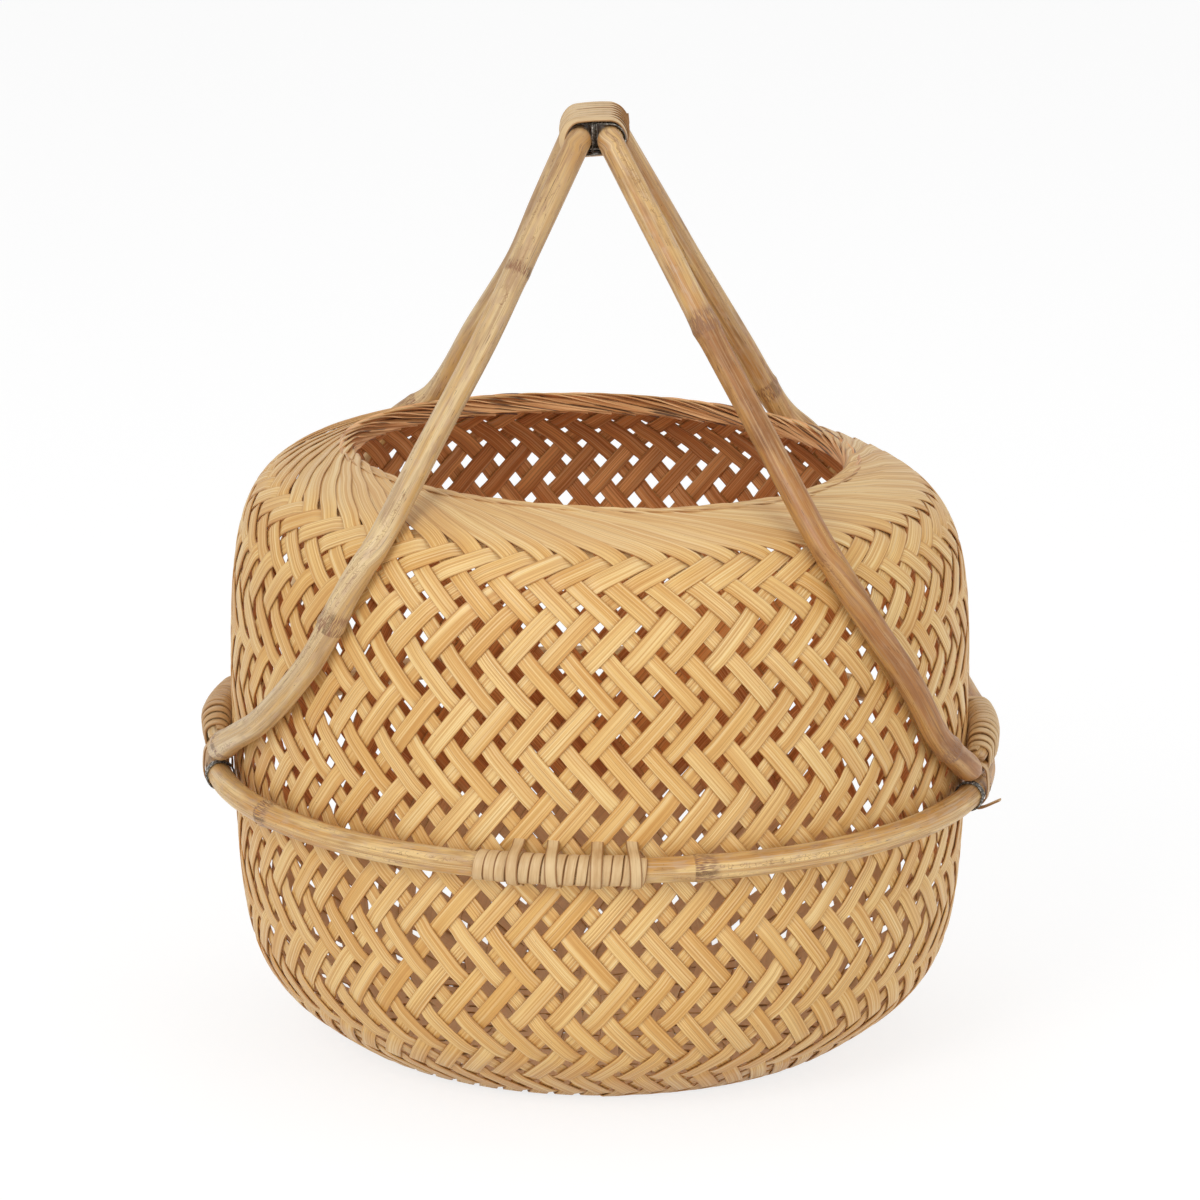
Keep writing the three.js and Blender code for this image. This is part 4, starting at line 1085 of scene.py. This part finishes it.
class BASKET_OT_stage(bpy.types.Operator):
    """Sets up the pale floor, the soft studio light and the camera"""

    bl_idname = "basket.stage"
    bl_label = "Floor, light and camera"

    def execute(self, context):
        scene = context.scene
        bpy.ops.object.select_all(action="DESELECT")
        bpy.ops.mesh.primitive_plane_add(size=FLOOR_SIZE, location=(0, FLOOR_BACK, 0))
        floor = context.object
        floor.name = "paper_floor"
        bpy.ops.object.mode_set(mode="EDIT")
        bpy.ops.mesh.select_all(action="DESELECT")
        bpy.ops.mesh.select_mode(type="EDGE")
        bpy.ops.object.mode_set(mode="OBJECT")
        corners = floor.data.vertices
        for edge in floor.data.edges:
            edge.select = all(corners[i].co.y > FLOOR_SIZE / 2 - 0.1 for i in edge.vertices)
        bpy.ops.object.mode_set(mode="EDIT")
        bpy.ops.mesh.extrude_region_move(TRANSFORM_OT_translate={"value": (0, 0, WALL_HEIGHT)})
        bpy.ops.mesh.select_all(action="SELECT")
        bpy.ops.mesh.bevel(offset=CORNER_RADIUS, segments=12, affect="EDGES")
        bpy.ops.object.mode_set(mode="OBJECT")
        bpy.ops.object.transform_apply(location=True, rotation=True, scale=True)
        bpy.ops.object.shade_smooth()
        floor.data.materials.append(look("seamless paper"))

        world = bpy.data.worlds.new("studio")
        scene.world = world
        world.use_nodes = True
        tree = world.node_tree
        tree.nodes.clear()
        light = node(tree, "ShaderNodeBackground", {"Color": linear("#FFFFFF"), "Strength": WORLD_LIGHT})
        white = node(tree, "ShaderNodeBackground", {"Color": linear("#FFFFFF"), "Strength": 1.0})
        both = node(tree, "ShaderNodeMixShader",
                    {0: seen_itself(tree), 1: light.outputs[0], 2: white.outputs[0]})
        node(tree, "ShaderNodeOutputWorld", {"Surface": both.outputs[0]})

        for name, place, size, power in LAMPS:
            bpy.ops.object.light_add(type="AREA", location=place)
            lamp = context.object
            lamp.name = name
            lamp.data.size = size
            lamp.data.energy = power
            lamp.rotation_euler = (LAMP_AIM - Vector(place)).to_track_quat("-Z", "Y").to_euler()

        place = VIEW_TARGET + VIEW_DISTANCE * Vector((0, -math.cos(VIEW_PITCH), math.sin(VIEW_PITCH)))
        bpy.ops.object.camera_add(location=place)
        camera = context.object
        camera.name = "photo_view"
        camera.rotation_euler = (VIEW_TARGET - place).to_track_quat("-Z", "Y").to_euler()
        camera.data.sensor_width = 36
        camera.data.lens = VIEW_LENS
        camera.data.clip_end = 60
        scene.camera = camera
        scene.view_settings.view_transform = "Standard"
        return {"FINISHED"}


class BASKET_OT_body(bpy.types.Operator):
    """Weaves the wall, the base and the rim from bamboo splints"""

    bl_idname = "basket.body"
    bl_label = "Woven wall, base and rim"

    def execute(self, context):
        parts = weave_all()
        for part, finish, slot, replaced in (
            ("rising", "split bamboo", "splint", "woven_wall"),
            ("leaning", "split bamboo", "splint", "woven_wall"),
            ("base", "split bamboo", "splint", "woven_base"),
            ("rim", "split bamboo, folded ends", "rim_splint", "rim_border"),
        ):
            faces = [look(finish), look("split bamboo, inner face")]
            piece = parts[part].make(part + "_splints", faces, leaned=part != "base")
            dress(piece, slot, replaced)
        return {"FINISHED"}


class BASKET_OT_hoop(bpy.types.Operator):
    """Bends the cane hoop round the belly as one closed ring, with its nodes; no scarf joint is made at the
    front
    """

    bl_idname = "basket.hoop"
    bl_label = "Belt hoop"

    def execute(self, context):
        binding = Binding()
        angles = np.linspace(0, 2 * math.pi, 1441)
        x, y = binding.hoop_radius * np.cos(angles), binding.hoop_radius * np.sin(angles)
        half = np.full(len(angles), binding.hoop_half)
        line = np.column_stack([x, y, hoop_height(x, y), half, half])
        rings, run, turns, mark = cane_rings(line, HOOP_NODES, binding.swell)
        cane_piece("cane_hoop", "cane skin", "belt_hoop", rings, run, turns * binding.hoop_half, mark)
        return {"FINISHED"}


class BASKET_OT_handles(bpy.types.Operator):
    """Bends the two handle canes from their tongues, over the grip and down to their laps"""

    bl_idname = "basket.handles"
    bl_label = "Handle canes"

    def execute(self, context):
        binding = Binding()
        for name, route in HANDLES.items():
            line = through(binding.handle(route), 20)
            rings, run, turns, mark = cane_rings(line, route["nodes"], binding.swell)
            along = unit(np.gradient(line[:, :3], axis=0))
            first = rounded_end(rings[0], line[0, :3], -along[0], line[0, 4])[::-1]
            last = rounded_end(rings[-1], line[-1, :3], along[-1], line[-1, 4])
            run = np.pad(run, (len(first), len(last)), "edge")
            mark = np.pad(mark, (len(first), len(last)))
            share = run / run[-1]
            if name == "left":
                browned = 0.9 * np.exp(-((share - 0.5) / 0.09) ** 2)
            else:
                browned = smoothstep(share, 0.365, 0.35)
            cane_piece(name + "_handle", route["finish"], name + "_handle_cane",
                       np.concatenate([first, rings, last]), run + 900 * route["side"],
                       turns * binding.leg, mark, browned)
        return {"FINISHED"}


class BASKET_OT_belt_lashing(bpy.types.Operator):
    """Winds the peel over the hoop's joint and ties it to the weave"""

    bl_idname = "basket.belt_lashing"
    bl_label = "Belt lashing and ties"

    def execute(self, context):
        binding = Binding()
        travel = BELT_TURNS * (BELT_PEEL + TURN_GAP)
        place, thick, widths = wound(
            lambda s: binding.front_frame(SCARF_PLACE + (s - 0.5) * travel),
            circle(binding.belt_line + EASE), BELT_TURNS, BELT_STEPS, BELT_PEEL + 0.7,
            math.radians(-112.5), unevenness=0.12, seed=3)
        peel_piece("belt_peel", "belt_lashing", place, thick, widths, binding.peel, 0.35)
        tie_line = binding.belt_line + binding.peel + SEAT_GAP
        entry = tie_line + TIE_RISE
        for i, (distance, tone) in enumerate(TIES):
            frame_here = binding.front_frame(distance)
            below, above = (outside(frame_here[0][2] + rise, -1.0)[0] - binding.hoop_radius
                            for rise in (-entry, entry))
            line = [(below, -entry), (below * 0.5, -tie_line - TIE_RISE * 0.3)]
            for k in np.arange(-3.5, 3.6):
                turn = 2 * math.pi * k / 16
                line.append((tie_line * math.cos(turn), tie_line * math.sin(turn)))
            line += [(above * 0.5, tie_line + TIE_RISE * 0.3), (above, entry)]
            place, thick = flat_run(frame_here, line, 1.2 * (-1) ** i)
            name = "belt_tie_%d" % (i + 1)
            peel_piece(name + "_peel", name, place, thick, TIE_WIDTH, binding.peel, tone, 400 * i)
        return {"FINISHED"}


class BASKET_OT_side_bindings(bpy.types.Operator):
    """Winds the lashings, straps and wires that hold each handle's foot to the hoop"""

    bl_idname = "basket.side_bindings"
    bl_label = "Side lashings, straps and foot wires"

    def execute(self, context):
        binding = Binding()
        for name, route in HANDLES.items():
            self.lashing(binding, name, route)
            self.strap(binding, name, route)
            self.foot_wire(binding, name, route)
        return {"FINISHED"}

    def lashing(self, binding, name, route):
        side = route["side"]
        knots = through(binding.handle(route), 12)
        line, halves = knots[:, :3], knots[:, 3:]
        run, tangents = run_along(line), unit(np.gradient(line, axis=0))
        travel = SIDE_TURNS * (SIDE_PEEL + TURN_GAP)
        room = SEAT_GAP + binding.peel / 2 + EASE
        depth = TONGUE_THICKNESS + SEAT_GAP

        def station(s):
            return run[-1] - LAP_ROOM - s * travel

        def frame_at(s):
            along = between(station(s), run, tangents)
            along = along / np.linalg.norm(along)
            out = np.cross(along, UP)
            out = out / np.linalg.norm(out) * -side
            return between(station(s), run, line), out, np.cross(out, along) * -side, along

        def outline_at(s, turn):
            x, y, _ = between(station(s), run, line)
            angle = math.degrees(math.atan2(y, side * x))
            drop = 1 - float(smoothstep(angle - route["tongue_end"], 1.5, 6))
            wide, thick = between(station(s), run, halves) + room
            rise = thick * math.sin(turn)
            lower = drop * depth * float(smoothstep(-rise, 0, thick / 2))
            return wide * math.cos(turn), rise - lower

        place, thick, widths = wound(frame_at, outline_at, SIDE_TURNS, BELT_STEPS, SIDE_PEEL + 0.2,
                                     math.pi / 2, route["tails"][0], 0.22, 5 + side)
        peel_piece(name + "_side_peel", name + "_side_lashing", place, thick, widths, 1.35 * binding.peel,
                   route["tone"])

    def strap(self, binding, name, route):
        reach = binding.hoop_half + SEAT_GAP + binding.peel / 2 + EASE
        shift = binding.lap_radius - binding.hoop_radius
        tongue = TONGUE_WIDTH / 2 + SEAT_GAP + binding.peel
        corner = binding.tongue_floor + TONGUE_THICKNESS * 0.7
        top = binding.tongue_floor + TONGUE_THICKNESS + SEAT_GAP + binding.peel / 2
        line = [(-reach, 0), (-reach, binding.tongue_floor * 0.7), (shift - tongue, corner),
                (shift - tongue * 0.55, top), (shift + tongue * 0.55, top), (shift + tongue, corner),
                (reach, binding.tongue_floor * 0.7)]
        for degrees in np.arange(0, 136, 22.5):
            line.append((reach * math.cos(math.radians(degrees)), -reach * math.sin(math.radians(degrees))))
        tail = route["tails"][1]
        if tail > 0:
            line[-2:] = [(reach * 0.5, -reach * 1.12), (tail, -reach * 0.45)]
        frame_here = binding.side_frame(route["side"], route["crook"] + STRAP_PLACE)
        place, thick = flat_run(frame_here, line, -STRAP_SLANT)
        peel_piece(name + "_strap_peel", name + "_hoop_strap", place, thick, STRAP_WIDTH, binding.peel, 0.5)

    def foot_wire(self, binding, name, route):
        per_mm = 360 / (2 * math.pi * binding.hoop_radius)
        pitch = FOOT_WIRE + TURN_GAP

        def frame_at(s):
            return binding.side_frame(
                route["side"], route["crook"] + WIRE_PLACE - s * FOOT_WIRE_TURNS * pitch * per_mm)

        reach = binding.hoop_half + SEAT_GAP + FOOT_WIRE / 2
        place, thick, _ = wound(frame_at, circle(reach), FOOT_WIRE_TURNS, WIRE_STEPS, FOOT_WIRE)
        wire_piece(name + "_foot_wire_turns", name + "_foot_wire", FOOT_WIRE, (place, thick))


class BASKET_OT_top_binding(bpy.types.Operator):
    """Winds the wire and the peel that bind both grips into one"""

    bl_idname = "basket.top_binding"
    bl_label = "Top wire and lashing"

    def execute(self, context):
        binding = Binding()
        half = binding.top_travel / 2
        first_turn = 2 * math.pi * 3.5 / 16
        wire_line = binding.leg + SEAT_GAP + TOP_WIRE / 2 + EASE
        peel_line = wire_line + TOP_WIRE / 2 + SEAT_GAP + binding.peel / 2 + EASE

        core = self.both_grips(binding, 1 - half, half - 4, wire_line, crowding=1.6, slack=1.0)
        place, thick, _ = wound(*core, TOP_WIRE_TURNS, TOP_STEPS, TOP_WIRE, first_turn)
        wire_piece("grip_wire", "top_wire", TOP_WIRE, (place, thick), *self.frapping(binding, wire_line))

        core = self.both_grips(binding, -half - 2, half + 3, peel_line, slant=3.0, bulge=2.0)
        place, thick, widths = wound(
            *core, TOP_TURNS + 1, TOP_STEPS, TOP_PEEL + EASE, first_turn, TOP_TAIL, 0.3, 11)
        dip = 1 - smoothstep(np.arange(len(place)), 40, 90)
        place = place - thick * 0.6 * dip[:, None]
        peel_piece("grip_peel", "top_lashing", place, thick, widths, binding.peel, 0.25, tilt=-0.3 * dip)
        return {"FINISHED"}

    def grip_line(self, binding, route):
        """The run along a handle from its grip's middle, and its middle line and directions there."""
        line = through(binding.handle(route), 12)[:, :3]
        run = run_along(line)
        high = line[:, 2] > GRIP_HEIGHT - 60
        middle = np.interp(0.0, line[high, 1], run[high])
        return run[high] - middle, line[high], unit(np.gradient(line, axis=0))[high]

    def both_grips(self, binding, start, stop, reach, slant=0.0, crowding=1.0, slack=0.0, bulge=0.0):
        """The frame and the outline of a winding round both grips, from start to stop along them, and reach
        out from their middles. crowding draws its turns together at the start, slack lets them hang there,
        and bulge lifts them on top."""
        pair = [self.grip_line(binding, HANDLES[name]) for name in ("left", "right")]

        def grips_at(s):
            here = start + (stop - start) * s ** crowding
            return [(between(here + shift, run, line), between(here + shift, run, tangents))
                    for (run, line, tangents), shift in zip(pair, (-slant, slant))]

        def frame_at(s):
            left, right = grips_at(s)
            across = (right[0] - left[0]) / np.linalg.norm(right[0] - left[0])
            along = unit(left[1] + right[1])
            up = unit(np.cross(across, along))
            return (left[0] + right[0]) / 2, across, up, np.cross(up, across)

        def outline_at(s, turn):
            left, right = grips_at(s)
            x, y = round_two(np.linalg.norm(right[0] - left[0]) / 2, reach, turn)
            high = float(smoothstep(y, 0, reach)) * (1 - (x / PAIR_HALF) ** 2)
            low = (1 - float(smoothstep(s ** crowding, 0, 0.3))) * float(smoothstep(-y, 0, reach))
            return x, y + bulge * high - slack * low

        return frame_at, outline_at

    def frapping(self, binding, wire_line):
        """The wire's last turns, drawn tight between the canes, as lines with their outward directions."""
        low, high = -5.5, wire_line + TOP_WIRE * 0.4
        lines = []
        for k in range(9):
            y = -binding.grip_length / 2 + 2.0 + 1.3 * k
            x = GRIP_SHIFT + (-0.95, 0.0, 0.95)[k % 3]
            knots = [(x, y + 0.3 * z / high, GRIP_HEIGHT + z) for z in (low, -2, 4, high)]
            lines.append((through(knots, 4), (1.0, 0.0, 0.0)))
        for low, slope in ((-4.6, 0.3), (-8.0, 1.2)):
            loop = [(-10, -22, low), (-5, -25, low), (0, -26, low + slope / 2), (5, -25, low + slope),
                    (10, -22, low + slope)]
            knots = [(GRIP_SHIFT + x, y, GRIP_HEIGHT + z) for x, y, z in loop]
            lines.append((through(knots, 5), (0.0, 0.0, -1.0)))
        return [(line, np.tile(out, (len(line), 1))) for line, out in lines]


class BASKET_PT_panel(bpy.types.Panel):
    """Lists the basket's steps and sizes"""

    bl_idname = "BASKET_PT_panel"
    bl_label = "Bamboo basket"
    bl_space_type = "VIEW_3D"
    bl_region_type = "UI"
    bl_category = "Basket"

    def draw(self, context):
        layout = self.layout
        for group in (context.scene.basket_weave, context.scene.basket_canes, context.scene.basket_colours):
            column = layout.column(align=True)
            for name in group.__annotations__:
                column.prop(group, name)
        for operator in OPERATORS:
            layout.operator(operator.bl_idname)


OPERATORS = (BASKET_OT_stage, BASKET_OT_body, BASKET_OT_hoop, BASKET_OT_handles, BASKET_OT_belt_lashing,
             BASKET_OT_side_bindings, BASKET_OT_top_binding)
CLASSES = (WeaveSizes, CaneSizes, BasketColours) + OPERATORS + (BASKET_PT_panel,)


def register():
    for each in CLASSES:
        bpy.utils.register_class(each)
    bpy.types.Scene.basket_weave = PointerProperty(type=WeaveSizes)
    bpy.types.Scene.basket_canes = PointerProperty(type=CaneSizes)
    bpy.types.Scene.basket_colours = PointerProperty(type=BasketColours)


def unregister():
    del bpy.types.Scene.basket_colours
    del bpy.types.Scene.basket_canes
    del bpy.types.Scene.basket_weave
    for each in reversed(CLASSES):
        bpy.utils.unregister_class(each)


def main():
    register()
    bpy.ops.basket.stage()
    bpy.ops.basket.body()
    bpy.ops.basket.hoop()
    bpy.ops.basket.handles()
    bpy.ops.basket.belt_lashing()
    bpy.ops.basket.side_bindings()
    bpy.ops.basket.top_binding()


if __name__ == "__main__":
    main()
